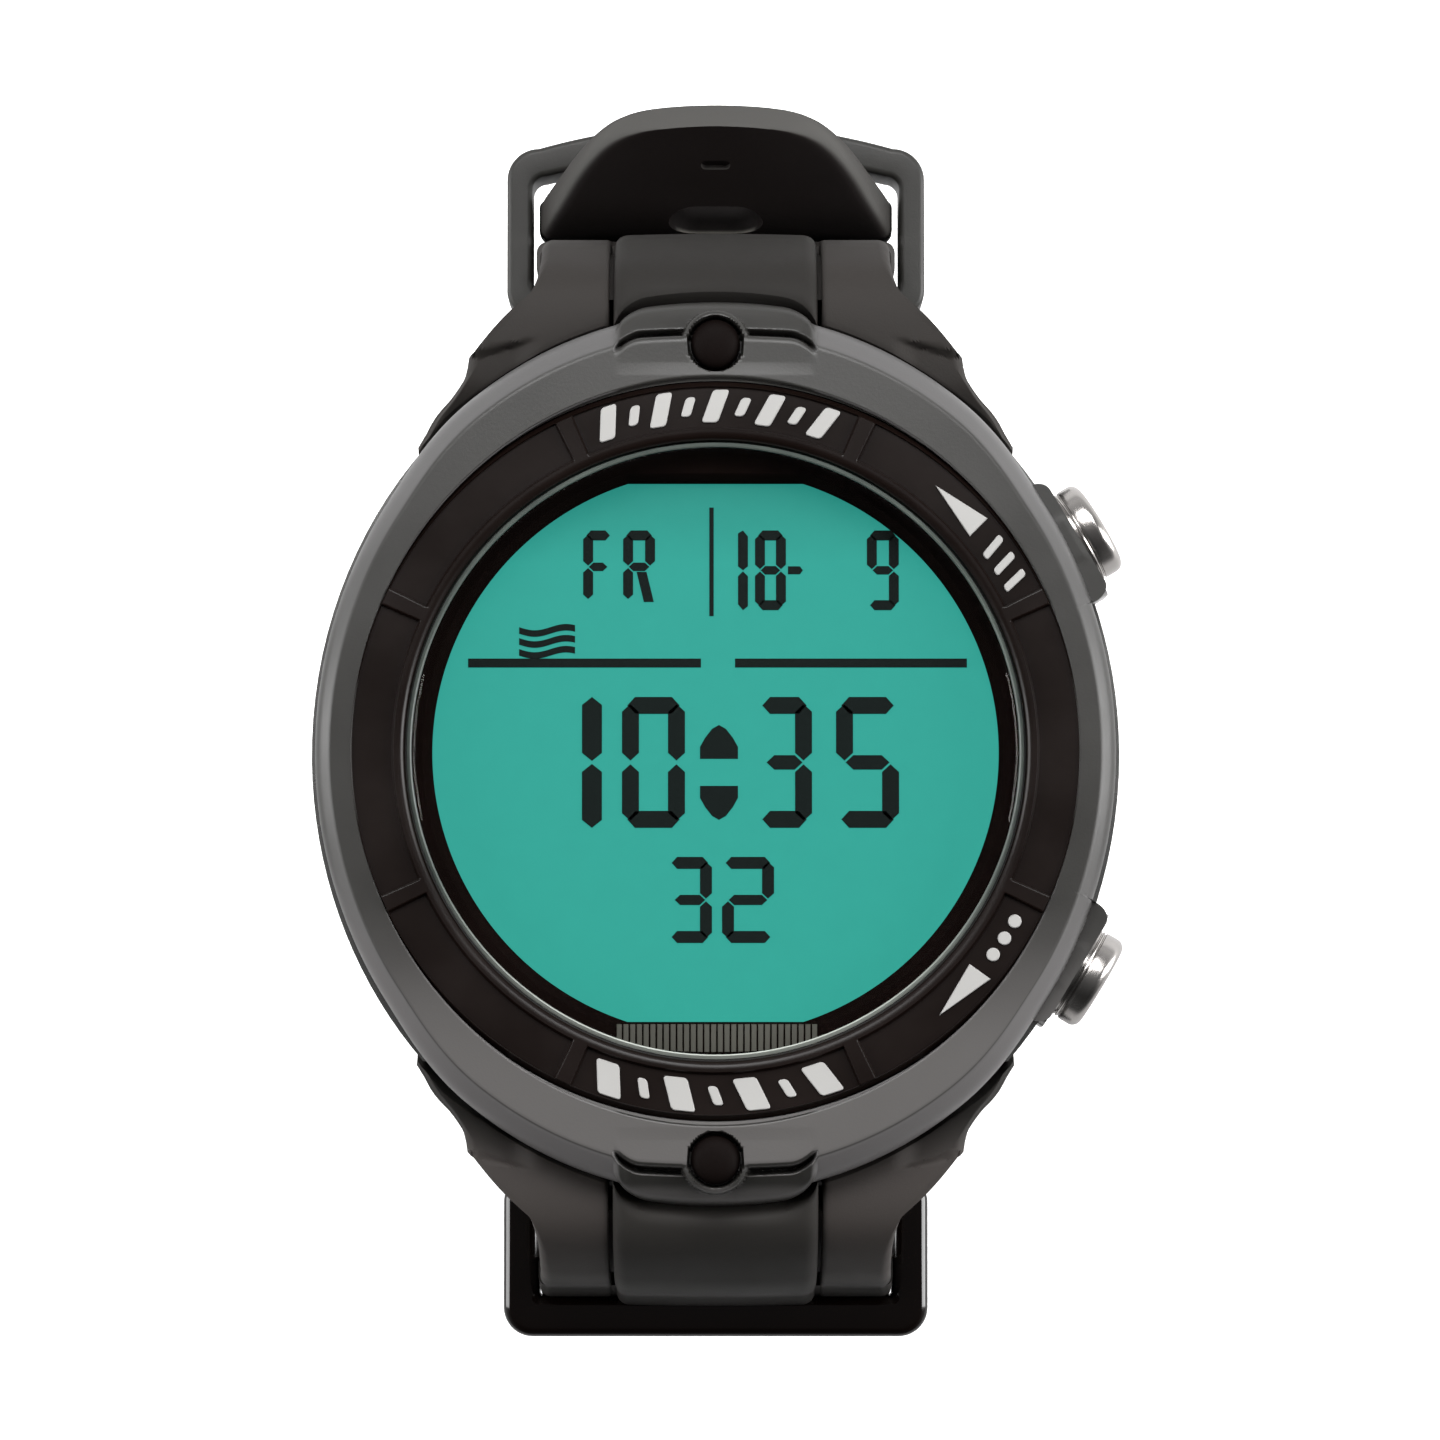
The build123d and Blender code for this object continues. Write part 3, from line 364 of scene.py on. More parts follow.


# painted light: paler cover bevel
tint(M["cover"], bevel_light_mask, srgb(80, 79, 79))
# painted light: paler lower bevel
tint(M["cover"], low_bevel_light_mask, srgb(86, 84, 84))
# painted light: paler lower top face of the cover
tint(M["cover"], low_flat_light_mask, srgb(80, 78, 77))


# painted light: the sloped end of the 6 o'clock lug nose is mixed paler
def low_nose_light_mask(nt, co):
    g = nt.nodes.new("ShaderNodeNewGeometry")
    nz = xyz(nt, g.outputs["Normal"])[2]
    p = xyz(nt, co.outputs["Object"])
    mid = mrange(nt, mth(nt, "ABSOLUTE", p[0], 0.0), 0.0078, 0.0070)
    return mth(nt, "MULTIPLY", mth(nt, "MULTIPLY", mid, mrange(nt, p[1], -0.0268, -0.0275)), mrange(nt, nz, 0.3, 0.6))


# painted light: the wings of the 6 o'clock strap root, outside the centre panel, are tinted paler
def low_root_light_mask(nt, co):
    p = xyz(nt, co.outputs["Object"])
    span = mth(nt, "MULTIPLY", mrange(nt, p[1], -0.0220, -0.0260), mrange(nt, p[1], -0.0350, -0.0325))
    side = mrange(nt, mth(nt, "ABSOLUTE", p[0], 0.0), 0.0062, 0.0072)
    return mth(nt, "MULTIPLY", mth(nt, "MULTIPLY", span, side), mrange(nt, p[2], 0.000, 0.003))


# painted shade: the raised centre panel of the 12 o'clock strap root is tinted darker
def tongue_shade_mask(nt, co):
    p = xyz(nt, co.outputs["Object"])
    mid = mrange(nt, mth(nt, "ABSOLUTE", p[0], 0.0), 0.0068, 0.0062)
    return mth(nt, "MULTIPLY", mth(nt, "MULTIPLY", mid, mrange(nt, p[1], 0.0270, 0.0280)), mrange(nt, p[2], 0.000, 0.003))


# painted light: paler lower lug nose
tint(M["cover"], low_nose_light_mask, srgb(70, 68, 67))
M["gloss"] = plastic("gloss_black", srgb(15, 8, 6), 0.34, 0.05, 500, 0.03, 0.15, spec=0.20)
M["mask"] = plastic("matte_black", srgb(14, 8, 7), 0.60, 0.08, 500, 0.05, 0.15, spec=0.0)
M["strap"] = plastic("strap_pu", srgb(39, 36, 34), 0.72, 0.05, 1200, 0.16, 0.07, spec=0.22)
M["strap_long"] = plastic("strap_pu_long", srgb(36, 34, 32), 0.72, 0.05, 1200, 0.16, 0.07, spec=0.20)
# painted shade: darker 12 o'clock centre panel
tint(M["strap"], tongue_shade_mask, srgb(28, 26, 24))
# painted light: paler wings on the 6 o'clock strap root
tint(M["strap"], low_root_light_mask, srgb(52, 48, 46))
tint(M["strap_long"], low_root_light_mask, srgb(52, 48, 46))
M["keeper_matte"] = plastic("keeper_matte", srgb(36, 35, 33), 0.50, 0.05, 1200, 0.14, 0.07, spec=0.35)
M["keeper_gloss"] = plastic("keeper_gloss", srgb(8, 4, 3), 0.12, 0.03, 300, 0.02, 0.15, spec=0.35, coat=0.15)
M["stud"] = plastic("stud_rubber", srgb(12, 7, 6), 0.66, 0.06, 900, 0.08, 0.1, spec=0.05)
M["rubber"] = plastic("seal_rubber", srgb(26, 24, 23), 0.6)
M["mark"] = plastic("white_mark", srgb(158, 157, 155), 0.40, 0.05, 700, 0.05, 0.02, spec=0.3)
M["hatch"] = plastic("hatch_plastic", srgb(44, 42, 41), 0.5, 0.06, 900, 0.12, 0.1, wear=0.3)
M["segment"] = plastic("lcd_segment", srgb(6, 14, 13), 0.6, 0.03, 300, 0.0, 0.05, spec=0.1)
M["band"] = plastic("rib_band", srgb(58, 56, 49), 0.5, 0.05, 600, 0.1, 0.1)
M["board"] = plastic("board_green", srgb(22, 88, 48), 0.4)
M["chip"] = plastic("chip_black", srgb(28, 28, 28), 0.5)
M["nylon"] = plastic("white_nylon", srgb(205, 203, 196), 0.5)
M["guide"] = plastic("light_guide", srgb(220, 226, 222), 0.3)
M["zebra"] = plastic("grey_rubber", srgb(130, 130, 134), 0.6)
M["steel"] = metal("case_steel", (0.40, 0.395, 0.39), 0.26, (1, 1, 26), 0.10)
M["polished"] = metal("polished_steel", (0.44, 0.42, 0.405), 0.24, (1, 1, 1), 0.01, 0.03, 120.0)
M["back"] = metal("brushed_back", (0.42, 0.42, 0.41), 0.30, (1, 40, 1), 0.25)
M["plain_steel"] = metal("plain_steel", (0.42, 0.42, 0.42), 0.25, (1, 1, 1), 0.05)
M["buckle"] = metal("buckle_steel", (0.34, 0.34, 0.335), 0.26, (30, 1, 1), 0.2)
M["gold"] = metal("contact_gold", (0.83, 0.66, 0.32), 0.25, (1, 1, 1), 0.05)


def glass_mat():
    m = bpy.data.materials.new("clear_glass")
    m.use_nodes = True
    nt = m.node_tree
    nt.nodes.clear()
    out = nt.nodes.new("ShaderNodeOutputMaterial")
    tr = nt.nodes.new("ShaderNodeBsdfTransparent")
    tr.inputs[0].default_value = (0.97, 0.985, 0.98, 1)
    gl = nt.nodes.new("ShaderNodeBsdfGlossy")
    gl.inputs["Roughness"].default_value = 0.03
    co = nt.nodes.new("ShaderNodeTexCoord")
    n = noise(nt, co, 60.0, 2.0)
    rr = nt.nodes.new("ShaderNodeMapRange")
    rr.inputs["To Min"].default_value = 0.015
    rr.inputs["To Max"].default_value = 0.05
    nt.links.new(n.outputs[0], rr.inputs[0])
    nt.links.new(rr.outputs[0], gl.inputs["Roughness"])
    lw = nt.nodes.new("ShaderNodeFresnel")
    lw.inputs["IOR"].default_value = 1.22
    # only the outer faces reflect, so that the display can be read at a low angle
    geo = nt.nodes.new("ShaderNodeNewGeometry")
    front = mth(nt, "SUBTRACT", 1.0, geo.outputs["Backfacing"])
    fac = mth(nt, "MULTIPLY", lw.outputs[0], front)
    mx = nt.nodes.new("ShaderNodeMixShader")
    nt.links.new(fac, mx.inputs[0])
    nt.links.new(tr.outputs[0], mx.inputs[1])
    nt.links.new(gl.outputs[0], mx.inputs[2])
    nt.links.new(mx.outputs[0], out.inputs[0])
    return m


def edge_glass():
    m, nt, b, co, out = new_mat("crystal_edge")
    n1 = noise(nt, co, 300.0, 3.0)
    cr = ramp(nt, n1.outputs[0], [(0.3, (0.05, 0.06, 0.055)), (0.7, (0.08, 0.095, 0.085))])
    sep = nt.nodes.new("ShaderNodeSeparateXYZ")
    nt.links.new(co.outputs["Object"], sep.inputs[0])
    # painted light: the ring is mixed to a pale grey-green towards 6 o'clock, below y = -8 mm
    mr = nt.nodes.new("ShaderNodeMapRange")
    mr.inputs["From Min"].default_value = -0.0185
    mr.inputs["From Max"].default_value = -0.008
    mr.inputs["To Min"].default_value = 1.0
    mr.inputs["To Max"].default_value = 0.0
    nt.links.new(sep.outputs["Y"], mr.inputs[0])
    mx = nt.nodes.new("ShaderNodeMixRGB")
    mx.inputs[2].default_value = (0.30, 0.32, 0.29, 1)
    nt.links.new(mr.outputs[0], mx.inputs[0])
    nt.links.new(cr.outputs[0], mx.inputs[1])
    nt.links.new(mx.outputs[0], b.inputs["Base Color"])
    b.inputs["Roughness"].default_value = 0.35
    return m


def lcd_mat():
    m, nt, b, co, out = new_mat("lcd_teal")
    sep = nt.nodes.new("ShaderNodeSeparateXYZ")
    nt.links.new(co.outputs["Object"], sep.inputs[0])
    mr = nt.nodes.new("ShaderNodeMapRange")
    mr.inputs["From Min"].default_value = -0.017
    mr.inputs["From Max"].default_value = 0.017
    nt.links.new(sep.outputs["Y"], mr.inputs[0])
    # painted shade: the teal darkens along the top of the display, towards 12 o'clock
    cr = ramp(nt, mr.outputs[0], [(0.0, srgb(49, 168, 154)), (0.85, srgb(50, 168, 155)), (1.0, srgb(42, 148, 136))])
    n1 = noise(nt, co, 700.0, 3.0)
    mx = nt.nodes.new("ShaderNodeMixRGB")
    mx.blend_type = "MULTIPLY"
    mx.inputs[0].default_value = 0.05
    nt.links.new(cr.outputs[0], mx.inputs[1])
    nt.links.new(n1.outputs[0], mx.inputs[2])
    # painted light: the base colour is cut to 14% and the teal comes back as emission, so the display glows though it
    # has no lamp
    dk = nt.nodes.new("ShaderNodeMixRGB")
    dk.blend_type = "MULTIPLY"
    dk.inputs[0].default_value = 1.0
    dk.inputs[2].default_value = (0.14, 0.14, 0.14, 1)
    nt.links.new(mx.outputs[0], dk.inputs[1])
    nt.links.new(dk.outputs[0], b.inputs["Base Color"])
    nt.links.new(mx.outputs[0], b.inputs["Emission Color"])
    b.inputs["Emission Strength"].default_value = 0.80
    b.inputs["Roughness"].default_value = 0.5
    b.inputs["Specular IOR Level"].default_value = 0.15
    return m


M["glass"] = glass_mat()
M["crystal_edge"] = edge_glass()
M["lcd"] = lcd_mat()

CAD_MATS = {
    "case_body": "steel", "front_cover": "cover", "cover_studs": "stud", "bezel_ring": "gloss", "crystal": "glass", "crystal_gasket": "rubber",
    "display_mask": "mask", "lcd_panel": "lcd", "backlight_panel": "guide", "zebra_connectors": "zebra", "circuit_board": "board",
    "circuit_components": "chip", "side_switches": "gold", "module_holder": "nylon", "battery_cell": "plain_steel",
    "battery_contact_spring": "gold", "battery_side_contact": "gold", "pressure_sensor": "plain_steel", "sensor_o_ring": "rubber", "buzzer": "gold",
    "back_plate": "back", "back_plate_gasket": "rubber", "back_plate_screws": "plain_steel", "battery_cover": "hatch", "battery_cover_o_ring": "rubber",
    "button_upper": "polished", "button_lower": "polished", "button_tube_upper": "plain_steel", "button_tube_lower": "plain_steel",
    "button_spring_upper": "plain_steel", "button_spring_lower": "plain_steel", "button_o_rings_upper": "rubber", "button_o_rings_lower": "rubber",
    "button_clip_upper": "plain_steel", "button_clip_lower": "plain_steel", "strap_upper": "strap", "strap_lower": "strap",
    "lug_pin_upper": "plain_steel", "lug_pin_lower": "plain_steel", "buckle_frame": "buckle", "buckle_pin": "plain_steel", "buckle_prong": "buckle",
    "keeper_upper": "keeper_matte", "keeper_lower": "keeper_gloss",
}
for n, o in NODES.items():
    o.data.materials.clear()
    o.data.materials.append(M[CAD_MATS[n]])



def tail_zone(nt, co):
    p = xyz(nt, co.outputs["Object"])
    return mth(nt, "MULTIPLY", mrange(nt, p[1], 0.0348, 0.0352), mrange(nt, p[2], -0.020, -0.012)), p


# painted highlight: the up-facing rim of the strap's free end is mixed paler, except round the small dimple
def rim_light_mask(nt, co):
    zone, p = tail_zone(nt, co)
    g = nt.nodes.new("ShaderNodeNewGeometry")
    nz = xyz(nt, g.outputs["Normal"])[2]
    lip = mth(nt, "MULTIPLY", zone, mrange(nt, nz, 0.15, 0.75))
    ax = mth(nt, "ABSOLUTE", p[0], 0.0)
    clear = mth(nt, "MAXIMUM", mrange(nt, ax, 0.0017, 0.0019), mrange(nt, p[2], -0.0030, -0.0026))
    clear = mth(nt, "MAXIMUM", clear, mrange(nt, p[2], -0.0062, -0.0066))
    return mth(nt, "MULTIPLY", lip, clear)


# painted shade: the inner face of the strap's flared free end, facing away from the light, is tinted near black
def face_shade_mask(nt, co):
    zone, p = tail_zone(nt, co)
    g = nt.nodes.new("ShaderNodeNewGeometry")
    d = dot(nt, g.outputs["Normal"], (0.0, -0.86, 0.51))
    face = mth(nt, "MULTIPLY", zone, mrange(nt, d, 0.60, 0.93))
    # painted shade: the walls of the last slot are tinted dark too
    depth = dot(nt, co.outputs["Object"], (0.0, -0.933, 0.36))
    c = -0.933 * 0.03687 + 0.36 * -0.00915
    deep = mth(nt, "MAXIMUM", mrange(nt, depth, c + 0.0012, c + 0.0007), mrange(nt, p[2], -0.0103, -0.0098))
    near = mth(nt, "MULTIPLY", mrange(nt, mth(nt, "ABSOLUTE", p[0], 0.0), 0.0036, 0.0034), mrange(nt, p[2], -0.0060, -0.0066))
    hole = mth(nt, "MULTIPLY", mth(nt, "MULTIPLY", deep, near), zone)
    return mth(nt, "MAXIMUM", face, hole)


# painted highlight on the free end's rim
tint(M["strap_long"], rim_light_mask, srgb(66, 65, 63))



# painted highlight: the up-facing lower lip of the last slot in the free end is tinted pale
def lip_light_mask(nt, co):
    zone, p = tail_zone(nt, co)
    g = nt.nodes.new("ShaderNodeNewGeometry")
    nz = xyz(nt, g.outputs["Normal"])[2]
    depth = dot(nt, co.outputs["Object"], (0.0, -0.933, 0.36))
    c = -0.933 * 0.03687 + 0.36 * -0.00915
    a = mth(nt, "MULTIPLY", mrange(nt, depth, c + 0.0007, c + 0.0012), mrange(nt, p[2], -0.0098, -0.0104))
    b = mth(nt, "MULTIPLY", mrange(nt, nz, 0.45, 0.75), mrange(nt, mth(nt, "ABSOLUTE", p[0], 0.0), 0.0036, 0.0034))
    return mth(nt, "MULTIPLY", mth(nt, "MULTIPLY", a, b), zone)


# painted shade on the free end's inner face and last slot
tint(M["strap_long"], face_shade_mask, srgb(12, 6, 5))
# painted highlight on the last slot's lower lip
tint(M["strap_long"], lip_light_mask, srgb(120, 117, 110))

# ---------------------------------------------------------------- reference sizes from the frame
clo, chi = bx("front_cover")
COVER_Z0 = clo[2]
COVER_A = 25.0
COVER_B = 27.3
blo, bhi = bx("bezel_ring")
BEZEL_R = bhi[0]
BEZEL_Z0, BEZEL_Z1 = blo[2], bhi[2]
xlo, xhi = bx("crystal")
CRY_R, CRY_Z0, CRY_Z1 = xhi[0], xlo[2], xhi[2]
llo, lhi = bx("lcd_panel")
LCD_Z = lhi[2]
STRAP_HALF = 11.4
SIDE_Y, STRAP_T, TAIL_T, LAP = 32.0, 3.0, 2.6, 3.15
BEND_R, BEND_Y, BEND_Z = 17.0, 15.0, -18.0
UNDER_R, UNDER_Z = 47.0, 7.98
S_UNDER = UNDER_R * math.radians(30)
S_BEND = S_UNDER + BEND_R * math.radians(60)


def loop_point(s, n):
    a, side = abs(s), (1 if s >= 0 else -1)
    if a <= S_UNDER:
        t = a / UNDER_R
        y, z = (UNDER_R + n) * math.sin(t), UNDER_Z - (UNDER_R + n) * math.cos(t)
    elif a <= S_BEND:
        t = math.radians(30) + (a - S_UNDER) / BEND_R
        y, z = BEND_Y + (BEND_R + n) * math.sin(t), BEND_Z - (BEND_R + n) * math.cos(t)
    else:
        y, z = SIDE_Y + n, BEND_Z + (a - S_BEND)
    return np.array([side * y, z])


def sstep(t):
    t = max(0.0, min(1.0, t))
    return t * t * (3 - 2 * t)


def tail_in(s):
    return LAP * sstep((s + 4.0) / 11.0)


def tail_t(s):
    return STRAP_T + (TAIL_T - STRAP_T) * sstep((s + 24.0) / 14.0)


# ---------------------------------------------------------------- guard ring: one continuous moulded shell
BUTTON_A = 31.0


def nose_y(x):
    """Outer edge of the lug nose: slightly arched, corners rounded."""
    ax = np.abs(x)
    base = 28.33 - 0.42 * (ax / 4.7) ** 2
    c = np.clip((ax - 4.2) / 2.15, 0, 1)
    return base - 1.75 * (1 - np.sqrt(np.clip(1 - c * c, 0, 1)))


def cover_outline(th):
    """Outer radius of the shell at each angle."""
    c, s = np.cos(th), np.sin(th)
    R = 1.0 / np.sqrt((c / COVER_A) ** 2 + (s / COVER_B) ** 2)
    R = R + (1.0 / np.sqrt((c / 25.47) ** 2 + (s / 27.62) ** 2) - R) * smooth((np.abs(s) - 0.60) / 0.22)
    # lug noses
    with np.errstate(divide="ignore", invalid="ignore"):
        r_try = np.linspace(24.0, 29.5, 900)
    for i, t in enumerate(th):
        if abs(math.cos(t)) < 0.28:
            x = r_try * math.cos(t)
            y = np.abs(r_try * math.sin(t))
            ok = (np.abs(x) <= 6.35) & (y <= nose_y(x))
            if ok.any():
                R[i] = max(R[i], r_try[ok].max())
    # button bosses: flat outer face
    for sgn in (1, -1):
        a = math.radians(sgn * BUTTON_A)
        d = th - a
        d = np.arctan2(np.sin(d), np.cos(d))
        u = 26.42 / np.cos(d)
        w = u * np.sin(d)
        edge = np.clip((np.abs(w) - 3.3) / 1.1, 0, 1)
        rb = u - 1.6 * (1 - np.sqrt(np.clip(1 - edge ** 2, 0, 1)))
        inside = (np.abs(d) < 0.4) & (np.abs(w) <= 4.4)
        R = np.where(inside, np.maximum(R, rb), R)
    return R


def cover_top(x, y, Rell, r):
    """Height of the shell's top skin."""
    th = np.arctan2(y, x)
    c2 = np.cos(th) ** 2
    D = 1.75 - 0.62 * c2                      # bevel width, wider towards 12 and 6
    d = Rell - r
    flat = 13.66 - 0.075 * (r - 23.0)
    t = np.clip(1 - d / D, 0, 1)
    H = 2.1
    k_ = 0.30                                  # softened shoulder between top face and bevel
    lin = np.where(t < k_, t * t / (2 * k_), t - k_ / 2)
    z = flat - 0.86 * D * lin - (H - 0.86 * D * (1 - k_ / 2)) * (1 - np.sqrt(np.clip(1 - t ** 7, 0, 1)))
    z = np.where(d < 0, flat - H, z)
    ay, ax = np.abs(y), np.abs(x)
    # flat tab
    tab_y = 25.95 - 0.25 * (ax / 6.0) ** 2 - 0.9 * np.clip((ax - 4.6) / 1.75, 0, 1) ** 2
    side = smooth((6.4 - ax) / 0.55)
    tabz = 13.50 - 0.04 * (ay - 24)
    tab_in = smooth((tab_y - ay) / 0.14 + 0.5)
    # nose: convex slope to the strap
    q = np.clip((ay - 25.7) / (28.35 - 25.7), 0, 1)
    nosez = 12.95 - 2.2 * (0.55 * q + 0.45 * q ** 2.2)
    ridge = 0.35 * smooth((ax - 5.2) / 0.9) * (1 - q)
    end = np.clip((ay - (nose_y(x) - 0.55)) / 0.55, 0, 1)
    nosez = nosez + ridge - 0.55 * (1 - np.sqrt(np.clip(1 - end * end, 0, 1)))
    nosez = nosez - 1.1 * np.exp(-((ay - tab_y - 0.20) / 0.16) ** 2)
    lip = np.clip((ay - (tab_y - 0.45)) / 0.45, 0, 1)
    tabz = tabz - 0.34 * (1 - np.sqrt(1 - lip ** 2))
    lug = np.where(ay > 22.5, side, 0)
    tz = nosez + (tabz - nosez) * tab_in
    zt = np.where(ay > 23.4, tz, flat) * 1.0
    kf = np.clip((ay - 23.4) / 0.8, 0, 1)
    zt = np.where(ay < tab_y - 0.5, flat + (zt - flat) * kf, zt)
    z = np.where(lug > 0, z + (zt - z) * lug, z)
    # stud recess with a soft collar
    rs = np.hypot(x, ay - 25.4)
    cr = np.clip((rs - 1.72) / 0.42, 0, 1)
    col = 13.42 - 0.5 * (1 - np.sqrt(np.clip(1 - cr * cr, 0, 1))) - 6.0 * np.clip((rs - 2.12) / 0.3, 0, 1)
    z = np.where((rs < 2.4) & (ay > 24.6), np.maximum(z, col), z)
    z = np.where(rs < 2.2, z - 1.3 * smooth((1.78 - rs) / 0.12), z)
    # button bosses: rounded shoulders standing out of the bevel
    for sgn in (1, -1):
        a = math.radians(sgn * BUTTON_A)
        u = x * math.cos(a) + y * math.sin(a)
        w = np.abs(-x * math.sin(a) + y * math.cos(a))
        cyl = BZ + np.sqrt(np.clip(4.15 ** 2 - np.clip(w, 0, 4.14) ** 2, 0, None)) + 0.35
        cyl = np.minimum(cyl, 11.2)
        fall = np.clip((u - 26.0) / 0.45, 0, 1)
        cyl = cyl - 0.45 * (1 - np.sqrt(1 - fall ** 2))
        m = (w < 4.4) & (u > 23)
        k = 0.35
        h = np.clip(0.5 + 0.5 * (cyl - z) / k, 0, 1)
        zz = z * (1 - h) + cyl * h + k * h * (1 - h)
        z = np.where(m, zz, z)
    return z


BZ = (bx("button_upper")[0][2] + bx("button_upper")[1][2]) / 2


def build_cover():
    base = np.linspace(0, 2 * math.pi, 1081)[:-1]
    extra = []
    for c in (90, 270):
        for d in (12.2, 12.9, 13.6, 14.3):
            for sg in (1, -1):
                extra += list(np.radians(c + sg * d + np.linspace(-0.45, 0.45, 14)))
    for c in (31, -31):
        for sg in (1, -1):
            extra += list(np.radians(c + sg * 9.0 + np.linspace(-1.6, 1.6, 26)))
    th = np.unique(np.round(np.mod(np.concatenate([base, extra]), 2 * math.pi), 6))
    R = cover_outline(th)
    ell = 1.0 / np.sqrt((np.cos(th) / COVER_A) ** 2 + (np.sin(th) / COVER_B) ** 2)
    ell = ell + (1.0 / np.sqrt((np.cos(th) / 25.47) ** 2 + (np.sin(th) / 27.62) ** 2) - ell) * smooth((np.abs(np.sin(th)) - 0.60) / 0.22)
    r0 = (1.0 / np.sqrt((np.cos(th) / 22.6) ** 2 + (np.sin(th) / 23.25) ** 2))[:, None]
    M_ = 96
    tt = np.linspace(0, 1, M_)
    tt = 0.5 * tt + 0.5 * (1 - (1 - tt) ** 1.8)
    r = r0 + (R[:, None] - r0) * tt[None, :]
    x, y = r * np.cos(th)[:, None], r * np.sin(th)[:, None]
    z = cover_top(x, y, ell[:, None] * np.ones_like(r), r)
    z[:, 0] -= 0.14
    z[:, 1] -= 0.03
    # keep the lip of the outer edge
    n = len(th)
    loops = []
    # inner bore going down, then top skin outwards, then wall down, then underside back in
    c, s = np.cos(th), np.sin(th)

    def loop(rad, zz):
        rad = np.broadcast_to(rad, (n,))
        zz = np.broadcast_to(zz, (n,))
        return np.stack([rad * c, rad * s, zz], 1)
    loops.append(loop(22.72, COVER_Z0))
    loops.append(loop(22.72, 12.44))
    loops.append(loop(23.05, 12.46))
    loops.append(loop(23.05, 13.28))
    loops.append(loop(r0[:, 0] + 0.02, 13.3))
    for j in range(M_):
        loops.append(np.stack([x[:, j], y[:, j], z[:, j]], 1))
    zedge = z[:, -1]
    loops.append(loop(R + 0.0, np.maximum(zedge - 0.5, COVER_Z0 + 0.6)))
    loops.append(loop(R - 0.03, COVER_Z0 + 0.35))
    loops.append(loop(R - 0.18, COVER_Z0))
    V = np.stack(loops, 1)  # n, m, 3
    # tunnel for the push buttons: skin near the axis is lifted clear of the button
    for sgn in (1, -1):
        a = math.radians(sgn * BUTTON_A)
        u = V[:, :, 0] * math.cos(a) + V[:, :, 1] * math.sin(a)
        w = -V[:, :, 0] * math.sin(a) + V[:, :, 1] * math.cos(a)
        lift = BZ + np.sqrt(np.clip(3.2 ** 2 - w ** 2, 0, None))
        low = (np.abs(w) < 3.2) & (u > 20) & (V[:, :, 2] < lift)
        V[:, :, 2] = np.where(low, np.minimum(lift, V[:, :, 2].max()), V[:, :, 2])
    m = V.shape[1]
    return make_obj("front_cover_shell", V.reshape(-1, 3), grid_faces(n, m, True, True), M["cover"], CASE, ["front_cover"], 40)


cover = build_cover()

# ---------------------------------------------------------------- bezel ring with recessed panels and ribs
RIBS = [65.3, 114.7, 155.0, 205.0, 245.3, 294.7, 335.0, 25.0]


def build_bezel():
    base = list(np.linspace(0, 360, 721)[:-1])
    for a in RIBS:
        for sg in (1, -1):
            base += list(a + sg * 1.48 + np.linspace(-0.42, 0.42, 9))
    th = np.unique(np.round(np.mod(base, 360), 5))
    rad = np.array([19.33, 19.42, 19.6, 19.85, 19.98, 20.03, 20.08, 20.14, 20.22, 20.6, 21.3, 22.0, 22.48, 22.56, 22.62, 22.67, 22.72, 22.8, 22.9, 22.96])
    land = np.interp(rad, [19.33, 19.5, 22.7, 22.8, 22.96], [BEZEL_Z1 - 0.3, BEZEL_Z1 - 0.02, BEZEL_Z1 - 0.36, BEZEL_Z1 - 0.5, BEZEL_Z1 - 0.66])
    pan = smooth((rad - 19.98) / 0.16) * np.interp(rad, [19.9, 20.2, 22.66, 22.7], [1, 1, 1, 0])
    t = np.radians(th)
    dist = np.min([np.abs(((th - a + 180) % 360) - 180) for a in RIBS], axis=0) * math.pi / 180 * 21.35
    rib = smooth((dist - 0.45) / 0.14)
    flat_ = np.interp(rad, [19.33, 19.5, 22.62, 22.72, 22.96], [BEZEL_Z1 - 0.3, BEZEL_Z1 - 0.02, BEZEL_Z1 - 0.02, BEZEL_Z1 - 0.36, BEZEL_Z1 - 0.66])
    Z = np.minimum(flat_[None, :], land[None, :] * 0 + flat_[None, :] - 0.36 * (smooth((rad - 19.98) / 0.16) * (rad < 22.65))[None, :] * rib[:, None])
    n = len(t)
    X, Y = np.outer(np.cos(t), rad), np.outer(np.sin(t), rad)
    top = np.stack([X, Y, Z], 2)
    c, s = np.cos(t), np.sin(t)

    def loop(r, z):
        return np.stack([r * c, r * s, np.full(n, z)], 1)[:, None, :]
    V = np.concatenate([loop(19.32, BEZEL_Z0), loop(19.32, BEZEL_Z1 - 0.35), top, loop(22.99, BEZEL_Z1 - 0.7), loop(22.99, BEZEL_Z0)], 1)
    return make_obj("bezel_ring_shell", V.reshape(-1, 3), grid_faces(n, V.shape[1], True, True), M["gloss"], CASE, ["bezel_ring"], 38)


build_bezel()

# ---------------------------------------------------------------- crystal, mask, display
prof = [(0, CRY_Z0), (CRY_R, CRY_Z0), (CRY_R, CRY_Z1 - 0.5), (CRY_R - 0.06, CRY_Z1 - 0.42), (CRY_R - 0.42, CRY_Z1 - 0.06), (CRY_R - 0.55, CRY_Z1), (0, CRY_Z1 + 0.02)]
v, f = lathe(prof, 256)
make_obj("crystal_glass", v, f, M["glass"], CASE, ["crystal"], 20)
# ground edge of the crystal, a thin grey-green ring; its paler part towards 6 o'clock is painted light
prof = [(CRY_R + 0.0, CRY_Z1 - 0.52), (CRY_R - 0.02, CRY_Z1 - 0.30), (CRY_R - 0.22, CRY_Z1 - 0.08), (CRY_R - 0.30, CRY_Z1 - 0.12), (CRY_R - 0.30, CRY_Z1 - 0.55)]
v, f = lathe(prof, 256, closed=True)
make_obj("crystal_ground_edge", v, f, M["crystal_edge"], CASE, [], 30)


def window_radius(th, r, flat):
    s = np.abs(np.sin(th))
    return np.minimum(r, flat / np.maximum(s, 1e-6))


